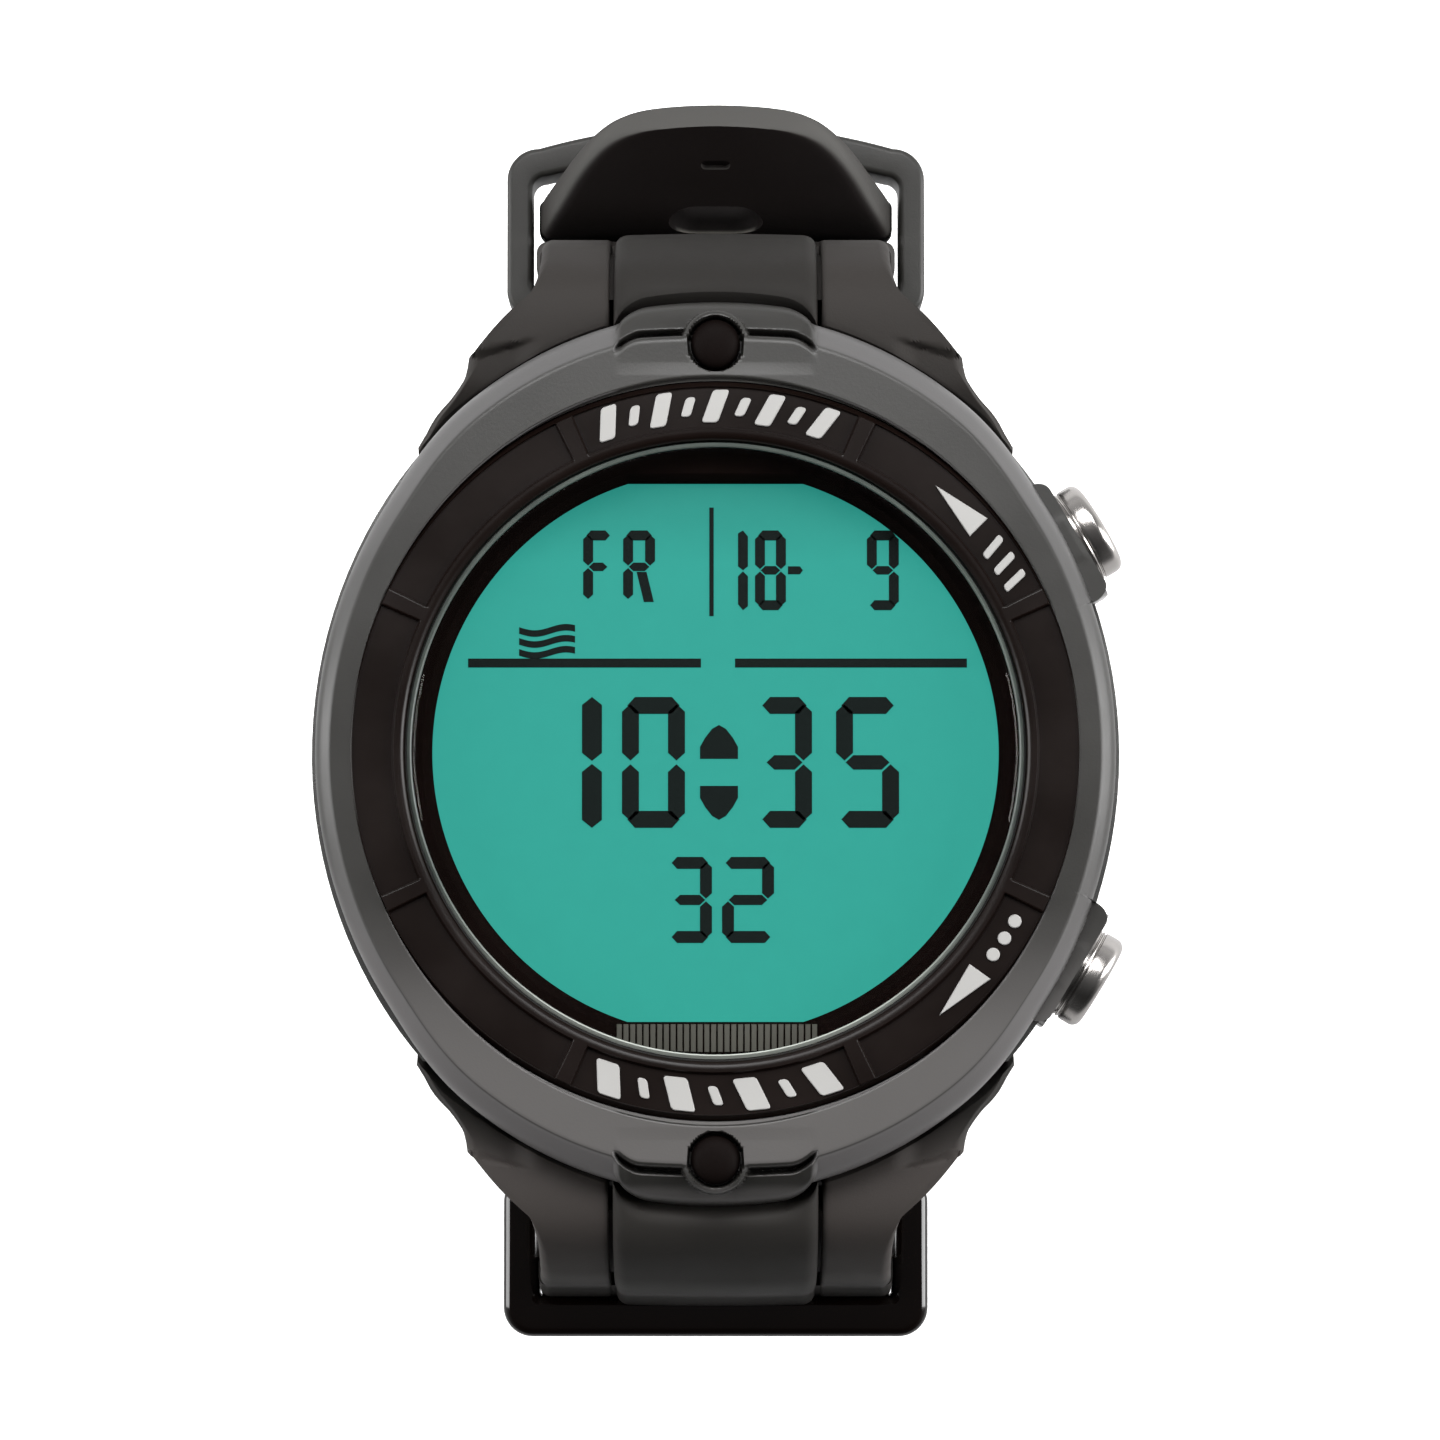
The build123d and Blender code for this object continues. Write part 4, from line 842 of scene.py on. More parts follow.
def build_mask():
    th = np.unique(np.round(np.concatenate([np.linspace(0, 2 * math.pi, 721)[:-1], np.mod(np.concatenate([np.radians(c + np.linspace(-2, 2, 24)) for c in (71.66, 108.34, 251.66, 288.34)]), 2 * math.pi)]), 6))
    W = window_radius(th, 17.72, 16.85)
    c, s = np.cos(th), np.sin(th)
    n = len(th)

    def loop(r, z):
        r = np.broadcast_to(r, (n,))
        z = np.broadcast_to(z, (n,))
        return np.stack([r * c, r * s, z], 1)
    loops = [loop(19.75, 11.24), loop(19.75, 11.76), loop(19.1, 11.76), loop(18.95, 11.70)]
    # stepped, sloping inner wall down to the display
    for k, fr in enumerate((0.0, 0.25, 0.5, 0.75, 1.0)):
        zz = 11.66 - 1.0 * fr
        loops.append(loop(W + 0.55 * (1 - fr) ** 1.3 + 0.02, zz))
    loops += [loop(W, LCD_Z + 0.03), loop(W + 0.3, LCD_Z + 0.02), loop(W + 0.5, 11.2)]
    V = np.stack(loops, 1)
    return make_obj("display_mask_ring", V.reshape(-1, 3), grid_faces(n, V.shape[1], True, True), M["mask"], CASE, ["display_mask"], 30)


build_mask()
prof = [(0, llo[2]), (18.95, llo[2]), (18.98, llo[2] + 0.05), (18.98, LCD_Z - 0.05), (18.9, LCD_Z), (12, LCD_Z), (6, LCD_Z), (0, LCD_Z)]
v, f = lathe(prof, 192)
make_obj("lcd_glass", v, f, M["lcd"], CASE, ["lcd_panel"], 30)


# photograph coordinates on the dial plane, moved to the depth of the piece
PX = 16.1
CAM_D = 420.0
TILT = math.radians(3.0)
DIAL_Z = 13.8
AIM = np.array([0.28, 1.86, DIAL_Z])
CAM = AIM + CAM_D * np.array([0.0, -math.sin(TILT), math.cos(TILT)])


def at(px, py, z):
    """Point at height z that the camera sees at pixel (px, py) of the 1440 frame."""
    xi, yi = (px - 715.5) / PX, (750.0 - py) / PX
    p = np.array([xi, yi, DIAL_Z])
    k = (CAM[2] - z) / (CAM[2] - DIAL_Z)
    return CAM + (p - CAM) * k


def plate(name, outlines, z, h, mat, body=CASE, bevel=0.05):
    """Flat raised marks: each outline is a list of (x, y) in mm, made into a thin closed slab with a bevelled top."""
    verts, faces = [], []
    for pts in outlines:
        P = np.array(pts, float)
        area = 0.5 * np.sum(P[:, 0] * np.roll(P[:, 1], -1) - P[:, 1] * np.roll(P[:, 0], -1))
        if area < 0:
            P = P[::-1]
        # inward offset for the bevelled top
        nxt, prv = np.roll(P, -1, 0), np.roll(P, 1, 0)
        e1 = (P - prv) / np.maximum(np.linalg.norm(P - prv, axis=1), 1e-9)[:, None]
        e2 = (nxt - P) / np.maximum(np.linalg.norm(nxt - P, axis=1), 1e-9)[:, None]
        n1 = np.stack([-e1[:, 1], e1[:, 0]], 1)
        n2 = np.stack([-e2[:, 1], e2[:, 0]], 1)
        nn = n1 + n2
        nn /= np.maximum(np.linalg.norm(nn, axis=1), 1e-9)[:, None]
        k = bevel / np.maximum((nn * n1).sum(1), 0.35)
        Q = P + nn * k[:, None]
        b = len(verts)
        m = len(P)
        verts += [(x, y, z) for x, y in P] + [(x, y, z + h * 0.6) for x, y in P] + [(x, y, z + h) for x, y in Q]
        faces.append(tuple(range(b + m - 1, b - 1, -1)))
        for lay in (0, 1):
            for i in range(m):
                j = (i + 1) % m
                faces.append((b + lay * m + i, b + lay * m + j, b + (lay + 1) * m + j, b + (lay + 1) * m + i))
        faces.append(tuple(range(b + 2 * m, b + 3 * m)))
    return make_obj(name, verts, faces, mat, body, [], 25)


SEG = {"0": "abcdef", "1": "bc", "2": "abged", "3": "abgcd", "4": "fgbc", "5": "afgcd", "6": "afgedc", "7": "abc", "8": "abcdefg", "9": "abcdfg", "F": "aefg", "R": "abefgk"}


def seven(ch, x0, y0, x1, y1, t, slant=0.0):
    """Seven segment digit as outlines in pixels, box (x0,y0)-(x1,y1), stroke t."""
    ym = (y0 + y1) / 2
    g = max(1.2, t * 0.11)
    h = t / 2
    out = []

    def horiz(y, xa, xb, up, down):
        return [(xa + g, y), (xa + h + g * 0.6, y - up), (xb - h - g * 0.6, y - up), (xb - g, y), (xb - h - g * 0.6, y + down), (xa + h + g * 0.6, y + down)]

    def vert(x, ya, yb, left, right):
        return [(x, ya + g), (x + right, ya + h + g * 0.6), (x + right, yb - h - g * 0.6), (x, yb - g), (x - left, yb - h - g * 0.6), (x - left, ya + h + g * 0.6)]
    c = SEG[ch]
    if "a" in c:
        out.append(horiz(y0 + h, x0 + h * 0.4, x1 - h * 0.4, h, h))
    if "d" in c:
        out.append(horiz(y1 - h, x0 + h * 0.4, x1 - h * 0.4, h, h))
    if "g" in c:
        out.append(horiz(ym, x0 + h * 0.9, x1 - h * 0.9, h * 0.85, h * 0.85))
    if "f" in c:
        out.append(vert(x0 + h, y0 + h * 0.6, ym, h, h))
    if "e" in c:
        out.append(vert(x0 + h, ym, y1 - h * 0.6, h, h))
    if "b" in c:
        out.append(vert(x1 - h, y0 + h * 0.6, ym, h, h))
    if "c" in c:
        out.append(vert(x1 - h, ym, y1 - h * 0.6, h, h))
    if "k" in c:
        out.append([(x0 + (x1 - x0) * 0.42, ym + h), (x0 + (x1 - x0) * 0.42 + t, ym + h), (x1 - g, y1 - g), (x1 - t - g, y1 - g)])
    return out


def lcd_marks():
    o = []
    o += seven("F", 583, 530, 613, 603, 10)
    o += seven("R", 623, 530, 655, 603, 10)
    o.append([(709.3, 507), (713.7, 507), (713.7, 616), (709.3, 616)])
    o += [[(738, 533), (743, 530), (748, 536), (748, 566), (743, 570), (738, 566)], [(738, 576), (743, 571), (748, 576), (748, 606), (743, 610), (738, 604)]]
    o += seven("8", 755, 530, 786, 610, 10)
    o.append([(788, 566), (800, 566), (803, 570), (800, 574), (788, 574)])
    o += seven("9", 867, 530, 899, 610, 10)
    # flag-like wave symbol
    for k in range(3):
        y = 627 + k * 11
        top = [(519 + t * 56, y + 3.2 * math.sin(t * 5.6) + 0.0) for t in np.linspace(0, 1, 19)]
        bot = [(519 + t * 56, y + 6.6 + 3.2 * math.sin(t * 5.6)) for t in np.linspace(1, 0, 19)]
        o.append(top + bot)
    o.append([(468, 658.5), (701, 658.5), (701, 667.5), (468, 667.5)])
    o.append([(735, 658.5), (967, 658.5), (967, 667.5), (735, 667.5)])
    # big figures
    w = 17
    for (ya, yb) in ((697, 761), (764, 828)):
        o.append([(592, ya), (602, ya + 8), (602, yb - 8), (592, yb), (582, yb - 8), (582, ya + 8)])
    o += seven("0", 622, 697, 685, 828, w)
    o += seven("3", 757, 697, 812, 828, w)
    o += seven("5", 836, 697, 899, 828, w)
    up = [(700, 759), (700, 747), (705, 738), (712, 729), (719, 725), (726, 729), (733, 738), (738, 747), (738, 759)]
    dn = [(x, 786 + (759 - y)) for x, y in up]
    o += [up, dn]
    o += seven("3", 668, 857, 712, 943, 12)
    o += seven("2", 722, 857, 774, 943, 12)
    return o


zc = LCD_Z + 0.02
plate("lcd_segments", [[tuple(at(px, py, zc)[:2]) for px, py in pts] for pts in lcd_marks()], zc, 0.06, M["segment"], bevel=0.02)

# ribbed strip under the display
ribs = []
for x0 in np.arange(-6.2, 6.2, 0.42):
    xa, xb = x0 + 0.04, x0 + 0.36
    ribs.append([(xa, -17.0), (xb, -17.0), (xb, -17.0 - 1.75 * math.sqrt(1 - (xb / 9.0) ** 2)), (xa, -17.0 - 1.75 * math.sqrt(1 - (xa / 9.0) ** 2))])
plate("display_rib_strip", ribs, 11.74, 0.10, M["band"], bevel=0.03)

# ---------------------------------------------------------------- white raised marks on the bezel
zb = BEZEL_Z1 - 0.37


def polar_quad(r0, r1, a0, a1, slant=0.0, n=6):
    """Sector block between radii and angles (deg), leaning by slant degrees from inner to outer edge."""
    inner = [(r0 * math.cos(math.radians(a)), r0 * math.sin(math.radians(a))) for a in np.linspace(a0, a1, n)]
    outer = [(r1 * math.cos(math.radians(a)), r1 * math.sin(math.radians(a))) for a in np.linspace(a1 + slant, a0 + slant, n)]
    return inner + outer


def lean_bar(a, r0, r1, w, lean, rc=0.22):
    """Round-cornered bar across the ring at angle a (deg), leaning by `lean` degrees."""
    pts = []
    h = (r1 - r0) / 2
    for cx, cy, b0 in ((w / 2 - rc, h - rc, 0), (-(w / 2 - rc), h - rc, 90), (-(w / 2 - rc), -(h - rc), 180), (w / 2 - rc, -(h - rc), 270)):
        for b in np.radians(np.linspace(b0, b0 + 90, 5)):
            pts.append((cx + rc * math.cos(b), cy + rc * math.sin(b)))
    sh = math.tan(math.radians(lean))
    t = math.radians(a)
    er, et = np.array([math.cos(t), math.sin(t)]), np.array([math.sin(t), -math.cos(t)])
    c = er * (r0 + r1) / 2
    return [tuple(c + et * (x + sh * y) + er * y) for x, y in pts]


marks = []
# plain scales of leaning bars, above and below the display
for k in range(-4, 5):
    long_ = k % 2 == 0
    marks.append(lean_bar(90 - k * 4.55, 20.42 if long_ else 20.85, 22.48 if long_ else 22.05, 1.02 if long_ else 0.62, 20))
for k in range(-3, 4):
    long_ = k % 2 != 0
    marks.append(lean_bar(270 - k * 6.0, 20.42 if long_ else 20.85, 22.48 if long_ else 22.05, 1.5 if long_ else 0.62, -20))
tri_u = [tuple(at(px, py, zb)[:2]) for px, py in ((936, 485), (988, 518), (970, 536))]
tri_l = [tuple(at(px, py, zb)[:2]) for px, py in ((939, 1015), (990, 979), (969, 964))]
marks += [tri_u, tri_l]
# next to the arrows: plain function marks, three dots and three bars
for k in range(3):
    marks.append(lean_bar(36.2 - k * 3.3, 20.6, 22.2, 0.5, -14, 0.18))
for k in range(3):
    a = -29.8 - k * 3.3
    c = (21.4 * math.cos(math.radians(a)), 21.4 * math.sin(math.radians(a)))
    marks.append([(c[0] + 0.42 * math.cos(t), c[1] + 0.42 * math.sin(t)) for t in np.linspace(0, 2 * math.pi, 21)[:-1]])
plate("bezel_marks", marks, zb, 0.16, M["mark"], bevel=0.05)

# ---------------------------------------------------------------- domed studs
for nm, sg in (("cover_stud_upper", 1), ("cover_stud_lower", -1)):
    prof = [(0, 9.0), (1.48, 9.0), (1.53, 9.2), (1.54, 12.5)] + [(1.54 * math.cos(t) ** 0.8, 12.85 + 0.78 * math.sin(t)) for t in np.linspace(0.06, math.pi / 2 - 0.02, 18)] + [(0, 13.64)]
    v, f = lathe(prof, 72, centre=(0, sg * 25.4, 0))
    make_obj(nm, v, f, M["stud"], CASE, ["cover_studs"] if sg == 1 else [], 40)

# ---------------------------------------------------------------- push buttons
for nm, sg in (("button_upper", 1), ("button_lower", -1)):
    a = math.radians(sg * BUTTON_A)
    ez = (math.cos(a), math.sin(a), 0)
    ex = (-math.sin(a), math.cos(a), 0)
    f_ = 28.3
    prof = [(0, 18.32), (1.1, 18.32), (1.18, 18.4), (1.18, 19.48), (0.82, 19.5), (0.82, 20.0), (1.18, 20.02), (1.18, 21.30), (0.78, 21.32), (0.78, 21.83), (1.18, 21.85)]
    prof += [(1.18, 22.60), (0.78, 22.62), (0.78, 23.13), (1.18, 23.15), (1.18, 27.16), (2.6, 27.16), (2.6, 24.52), (2.95, 24.52), (3.03, 24.62), (3.03, 26.60)]
    for k in range(2):
        u0 = 26.62 + k * 0.22
        prof += [(3.03, u0), (2.95, u0 + 0.05), (2.95, u0 + 0.09), (3.06, u0 + 0.14)]
    prof += [(3.08, 27.10), (3.09, 27.2)]
    prof += arc_pts(2.49, f_ - 0.58, 0.60, 0, 82, 12)
    prof += [(2.3, f_ + 0.03), (1.3, f_ + 0.07), (0, f_ + 0.08)]
    v, f = lathe(prof, 128, centre=(0, 0, BZ), ex=ex, ey=(0, 0, 1), ez=ez)
    make_obj(nm + "_cap", v, f, M["polished"], BODY_OF[nm], [nm], 30)
    # return spring
    spn = nm.replace("button_", "button_spring_")
    exv, eyv, ezv = np.array(ex), np.array([0.0, 0.0, 1.0]), np.array(ez)
    turns, n_r, n_c = 3.3 / 0.95, 150, 10
    sv, sf = [], []
    for i in range(n_r):
        q = i / (n_r - 1.0)
        ph = 2 * math.pi * turns * q
        rad = exv * math.cos(ph) + eyv * math.sin(ph)
        c0 = np.array([0, 0, BZ]) + ezv * (23.66 + 3.27 * q) + rad * 2.24
        tan_ = (-exv * math.sin(ph) + eyv * math.cos(ph)) * 2.24 * 2 * math.pi * turns + ezv * 3.27
        tan_ /= np.linalg.norm(tan_)
        nrm = np.cross(tan_, rad)
        for k in range(n_c):
            t_ = 2 * math.pi * k / n_c
            sv.append(c0 + rad * 0.17 * math.cos(t_) + nrm * 0.17 * math.sin(t_))
    sf = grid_faces(n_r, n_c, False, True) + [tuple(range(n_c - 1, -1, -1)), tuple(range((n_r - 1) * n_c, n_r * n_c))]
    coil = make_obj(spn + "_coil", sv, sf, M["plain_steel"], BODY_OF[spn], [spn], 60)
    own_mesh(coil)


# ---------------------------------------------------------------- straps
def resample(P, n):
    d = np.concatenate([[0], np.cumsum(np.linalg.norm(np.diff(P, axis=0), axis=1))])
    s = np.linspace(0, d[-1], n)
    return np.stack([np.interp(s, d, P[:, k]) for k in range(P.shape[1])], 1), d[-1]


OUTER = catmull([(16.5, 8.3), (18.2, 8.55), (19.8, 8.95), (22.0, 9.65), (25.0, 10.05), (28.7, 9.85), (31.0, 8.55), (32.95, 5.4), (33.85, 1.8), (34.15, -1.5), (34.35, -4.5), (34.98, -7.6), (35.0, -12.0)], 30)
INNER = catmull([(16.5, 4.0), (20.0, 3.8), (23.0, 3.6), (25.5, 3.35), (28.2, 2.3), (30.2, 0.2), (31.3, -2.4), (31.9, -5.4), (32.0, -7.5), (32.0, -12.0)], 30)
OUTER, LEN_O = resample(OUTER, 1200)
INNER, LEN_I = resample(INNER, 1200)
S_O = np.linspace(0, LEN_O, 1200)


def s_of_y(y):
    """Arc length along the outer profile where it reaches y (top part)."""
    return np.interp(y, OUTER[:, 0], S_O)


def station(s):
    """Outer point, inner point and outward normal at arc length s (arrays)."""
    oy, oz = np.interp(s, S_O, OUTER[:, 0]), np.interp(s, S_O, OUTER[:, 1])
    fr = s / LEN_O * LEN_I
    SI = np.linspace(0, LEN_I, 1200)
    iy, iz = np.interp(fr, SI, INNER[:, 0]), np.interp(fr, SI, INNER[:, 1])
    e = 0.15
    ty = np.interp(s + e, S_O, OUTER[:, 0]) - np.interp(s - e, S_O, OUTER[:, 0])
    tz = np.interp(s + e, S_O, OUTER[:, 1]) - np.interp(s - e, S_O, OUTER[:, 1])
    ln = np.hypot(ty, tz)
    return oy, oz, iy, iz, -tz / ln * 1.0, ty / ln * 1.0


def dense(n_mid, width, r, n_edge=7):
    """Parameters 0..1 with extra samples inside the rounding of both ends."""
    r = min(r, width * 0.45)
    a = [r * (1 - math.cos(t)) / width for t in np.linspace(0, math.pi / 2, n_edge)]
    mid = list(np.linspace(r / width, 1 - r / width, n_mid))[1:-1]
    return np.array(a + mid + [1 - q for q in reversed(a)])


def rnd(d, r):
    """Drop of a rounded edge at distance d from it."""
    d = np.clip(d, 0, r)
    return r - np.sqrt(np.clip(r * r - (r - d) ** 2, 0, None))


K_TOP = int(np.argmax(OUTER[:, 1]))


def s_of_z(z):
    """Arc length on the downward part of the outer profile at height z."""
    return float(np.interp(-z, -OUTER[K_TOP:, 1], S_O[K_TOP:]))


S_END = s_of_z(-8.5)


def polyline_param(P, v):
    P = np.array(P, float)
    d = np.concatenate([[0], np.cumsum(np.linalg.norm(np.diff(P, axis=0), axis=1))])
    return np.stack([np.interp(v * d[-1], d, P[:, k]) for k in range(2)], -1)


def wing_patch(draw=0.0):
    """One wing of the strap root: from the case wall to below the wrist side. Returns verts, faces."""
    X0 = 6.70
    ell_y = lambda x: 27.7 * np.sqrt(1 - (x / 25.55) ** 2)
    # outer boundary in (x, s)
    plan = [(18.85, 18.9), (18.0, 20.2), (16.95, 21.7), (16.25, 22.75), (15.8, 23.5), (15.62, 24.3), (15.55, 24.9), (15.3, 25.2), (14.4, 25.7), (13.45, 26.4), (12.7, 27.3), (12.05, 28.35), (11.6, 29.3), (11.32, 30.3), (11.15, 31.4), (11.08, 32.6)]
    Rb = [(x, float(s_of_y(y))) for x, y in plan] + [(11.1, s_of_z(3.0)), (11.25, s_of_z(-2.0)), (STRAP_HALF, S_END)]
    n_u = dense(26, 5.5, 0.7, 8)
    n_v = np.concatenate([np.linspace(0, 0.06, 7), np.linspace(0.06, 0.94, 92)[1:-1], np.linspace(0.94, 1.0, 9)])
    U, V_ = np.meshgrid(n_u, n_v, indexing="ij")
    s0 = float(s_of_y(ell_y(np.array(X0))))
    # left side follows v by the same fraction of y as the right boundary
    R = polyline_param(Rb, V_)
    s_tip = Rb[0][1]
    L = np.stack([np.full_like(V_, X0), s0 + (S_END - s0) * V_], -1)
    xs = X0 + (plan[0][0] - X0) * U
    S = np.stack([xs, s_of_y(ell_y(np.minimum(xs, 18.85)))], -1)
    S[..., 1] = np.where(U > 0.999, s_tip, S[..., 1])
    E = np.stack([X0 + (STRAP_HALF - X0) * U, np.full_like(U, S_END)], -1)
    c00, c10 = np.array([X0, s0]), np.array(Rb[0])
    c01, c11 = np.array([X0, S_END]), np.array([STRAP_HALF, S_END])
    u, v = U[..., None], V_[..., None]
    P = (1 - u) * L + u * R + (1 - v) * S + v * E - ((1 - u) * (1 - v) * c00 + u * (1 - v) * c10 + (1 - u) * v * c01 + u * v * c11)
    x, s = P[..., 0], P[..., 1]
    oy, oz, iy, iz, ny, nz = station(s)
    wid = np.maximum(R[..., 0] - X0, 1.0) * 1.05
    du, dv0, dv1 = U * wid, V_ * 15.0, (1 - V_) * 15.0
    dr = (1 - U) * wid
    drop = rnd(du, 0.28) + rnd(dr, 0.75) + rnd(dv0, 0.3) + rnd(dv1, 0.5)
    # a lower facet at the shoulder, next to the case
    yl = 25.15 + (15.36 - x) * 0.24
    ledge = 0.5 * smooth((yl - oy) / 0.22) * smooth((x - 11.0) / 1.8)
    # the thin tips lie lower along the case
    tip = 1.1 * smooth((23.5 - oy) / 3.5)
    h = -(drop + ledge + tip) - draw * smooth((oy - 29.0) / 4.0)
    T = np.stack([x, oy + ny * h, oz + nz * h], -1)
    inset = 0.12
    B = np.stack([x, iy, iz], -1)
    return skin(T, B)


def skin(T, B):
    n, m = T.shape[:2]
    verts = np.concatenate([T.reshape(-1, 3), B.reshape(-1, 3)])
    faces = grid_faces(n, m)
    k = n * m
    faces += [(a + k, d + k, c + k, b + k) for a, b, c, d in grid_faces(n, m)]
    edge = [i * m for i in range(n)] + [(n - 1) * m + j for j in range(1, m)] + [i * m + m - 1 for i in range(n - 2, -1, -1)] + [j for j in range(m - 2, 0, -1)]
    for a, b in zip(edge, edge[1:] + edge[:1]):
        faces.append((a, b, b + k, a + k))
    return verts, faces


def tongue_patch(rise=0.62, draw=0.0):
    """Raised centre panel of the strap root."""
    x_half = 6.42
    s0, s1 = float(s_of_y(28.8)), S_END + 1.0
    n_u = dense(30, 2 * x_half, 1.1, 9)
    n_v = np.concatenate([np.linspace(0, 0.08, 9), np.linspace(0.08, 0.86, 60)[1:-1], np.linspace(0.86, 1.0, 16)])
    U, V_ = np.meshgrid(n_u, n_v, indexing="ij")
    x = (U * 2 - 1) * x_half
    s = s0 + (s1 - s0) * V_
    # follow the arched, round-cornered nose
    gap = (28.75 - (nose_y(x * 0.985) + 0.36))
    s = s - np.clip(gap, 0, 3) * (1 - smooth(V_ / 0.5))
    # rounded lower corners
    ax = np.abs(x)
    cut = 2.3 * (1 - np.sqrt(np.clip(1 - np.clip((ax - (x_half - 2.3)) / 2.3, 0, 1) ** 2, 0, 1)))
    s = s - cut * smooth((V_ - 0.6) / 0.4)
    oy, oz, iy, iz, ny, nz = station(s)
    L = s1 - s0
    h = rise * smooth((V_ * L) / 1.6 + 0.45) - rnd((U) * 2 * x_half, 0.85) * 0.75 - rnd((1 - U) * 2 * x_half, 0.85) * 0.75 - rnd(V_ * L, 0.35) - rnd((1 - V_) * L, 0.9)
    h += 0.12 * (1 - (x / x_half) ** 2) - draw * smooth((oy - 29.0) / 4.0)
    T = np.stack([x, oy + ny * h, oz + nz * h], -1)
    B = np.stack([x, iy * 0.999, iz], -1)
    return skin(T, B)


def band(stations, w_fn, r=0.7, n_mid=14):
    """Swept band. stations: list of (outer yz, inner yz, half width)."""
    verts = []
    ring = None
    for st_ in stations:
        o, i, w = st_[:3]
        r_ = st_[3] if len(st_) > 3 else r
        o, i = np.array(o), np.array(i)
        up = o - i
        t = np.linalg.norm(up)
        up = up / t
        rr = min(r_, t * 0.47, max(w, 0.02) * 0.9)
        pts = []
        w_ = max(w, 0.02)
        for cx, cz, a0 in ((w_ - rr, t - rr, 0), (-(w_ - rr), t - rr, 90), (-(w_ - rr), rr, 180), (w_ - rr, rr, 270)):
            for a in np.radians(np.linspace(a0, a0 + 90, 6)):
                pts.append((cx + rr * math.cos(a), cz + rr * math.sin(a)))
        # extra samples along the flat outer and inner faces
        full = []
        for k in range(4):
            seg = pts[k * 6:(k + 1) * 6]
            full += seg
            nx = pts[((k + 1) % 4) * 6]
            if k in (0, 2):
                for q in np.linspace(0, 1, n_mid + 2)[1:-1]:
                    full.append((seg[-1][0] + (nx[0] - seg[-1][0]) * q, seg[-1][1] + (nx[1] - seg[-1][1]) * q))
        ring = len(full)
        for (x, h) in full:
            p = i + up * h
            verts.append((x, p[0], p[1]))
    n = len(stations)
    faces = grid_faces(n, ring, False, True)
    faces.append(tuple(range(ring - 1, -1, -1)))
    faces.append(tuple(range((n - 1) * ring, n * ring)))
    return np.array(verts), faces


def merge(parts):
    V, F = [], []
    b = 0
    for v, f in parts:
        V.append(np.asarray(v, float))
        F += [tuple(i + b for i in q) for q in f]
        b += len(v)
    return np.concatenate(V), F


def mirror_y(v):
    v = np.array(v, float)
    v[:, 1] *= -1
    return v


def mirror_x(v):
    v = np.array(v, float)
    v[:, 0] *= -1
    return v


def web_patch(draw=0.0):
    """Sunk floor of the two grooves between centre panel and wings."""
    s0, s1 = float(s_of_y(28.95)), S_END
    n_u, n_v = np.linspace(0, 1, 9), np.linspace(0, 1, 60)
    U, V_ = np.meshgrid(n_u, n_v, indexing="ij")
    x = (U * 2 - 1) * 7.4
    s = s0 + (s1 - s0) * V_
    oy, oz, iy, iz, ny, nz = station(s)
    h = -0.95 - draw * smooth((oy - 29.0) / 4.0)
    T = np.stack([x, oy + ny * h, oz + nz * h], -1)
    B = np.stack([x, iy * 0.998, iz + 0.02], -1)
    return skin(T, B)


DRAW = 0.55          # the 12 o'clock root sits slightly tighter than the 6 o'clock one
wv_up, wf = wing_patch(DRAW)
wv, wf = wing_patch(0.45)
tv_up, tf = tongue_patch(0.28, DRAW)
tv_lo, tf = tongue_patch(0.50, 0.45)
gv_up, gf = web_patch(DRAW)
gv, gf = web_patch(0.45)


def bool_cut(ob, cutter):
    md = ob.modifiers.new("cut", "BOOLEAN")
    md.operation = "DIFFERENCE"
    md.solver = "EXACT"
    md.object = cutter
    dg = bpy.context.evaluated_depsgraph_get()
    me = bpy.data.meshes.new_from_object(ob.evaluated_get(dg))
    ob.modifiers.remove(md)
    old = ob.data
    ob.data = me
    bpy.data.meshes.remove(old)
    cm = cutter.data
    bpy.data.objects.remove(cutter)
    bpy.data.meshes.remove(cm)
    me.shade_smooth()
    me.set_sharp_from_angle(angle=math.radians(35))


def raw_obj(name, verts, faces):
    me = bpy.data.meshes.new(name)
    me.from_pydata((np.asarray(verts, float) * MM).tolist(), [], [tuple(int(i) for i in f) for f in faces])
    me.update()
    ob = bpy.data.objects.new(name, me)
    bpy.context.scene.collection.objects.link(ob)
    fix_normals(me)
    return ob


def prism(centre, ex, ey, ez, w, l, depth, r):
    """Rounded-rectangle prism for cutting, centred, axes in (x, y, z)."""
    c, ex, ey, ez = (np.array(q, float) for q in (centre, ex, ey, ez))
    pts = []
    for cx, cy, a0 in ((w / 2 - r, l / 2 - r, 0), (-(w / 2 - r), l / 2 - r, 90), (-(w / 2 - r), -(l / 2 - r), 180), (w / 2 - r, -(l / 2 - r), 270)):
        for a in np.radians(np.linspace(a0, a0 + 90, 7)):
            pts.append((cx + r * math.cos(a), cy + r * math.sin(a)))
    m = len(pts)
    verts = [c + ex * x + ey * y - ez * depth for x, y in pts] + [c + ex * x + ey * y + ez * depth for x, y in pts]
    faces = [tuple(range(m - 1, -1, -1)), tuple(range(m, 2 * m))] + [(i, (i + 1) % m, m + (i + 1) % m, m + i) for i in range(m)]
    return np.array(verts), faces


# short strap (12 o'clock): band from below the root to the pin eye
def side_y(z):
    return float(np.interp(-z, -OUTER[K_TOP:, 1], OUTER[K_TOP:, 0])) if z > -12.0 else SIDE_Y + STRAP_T


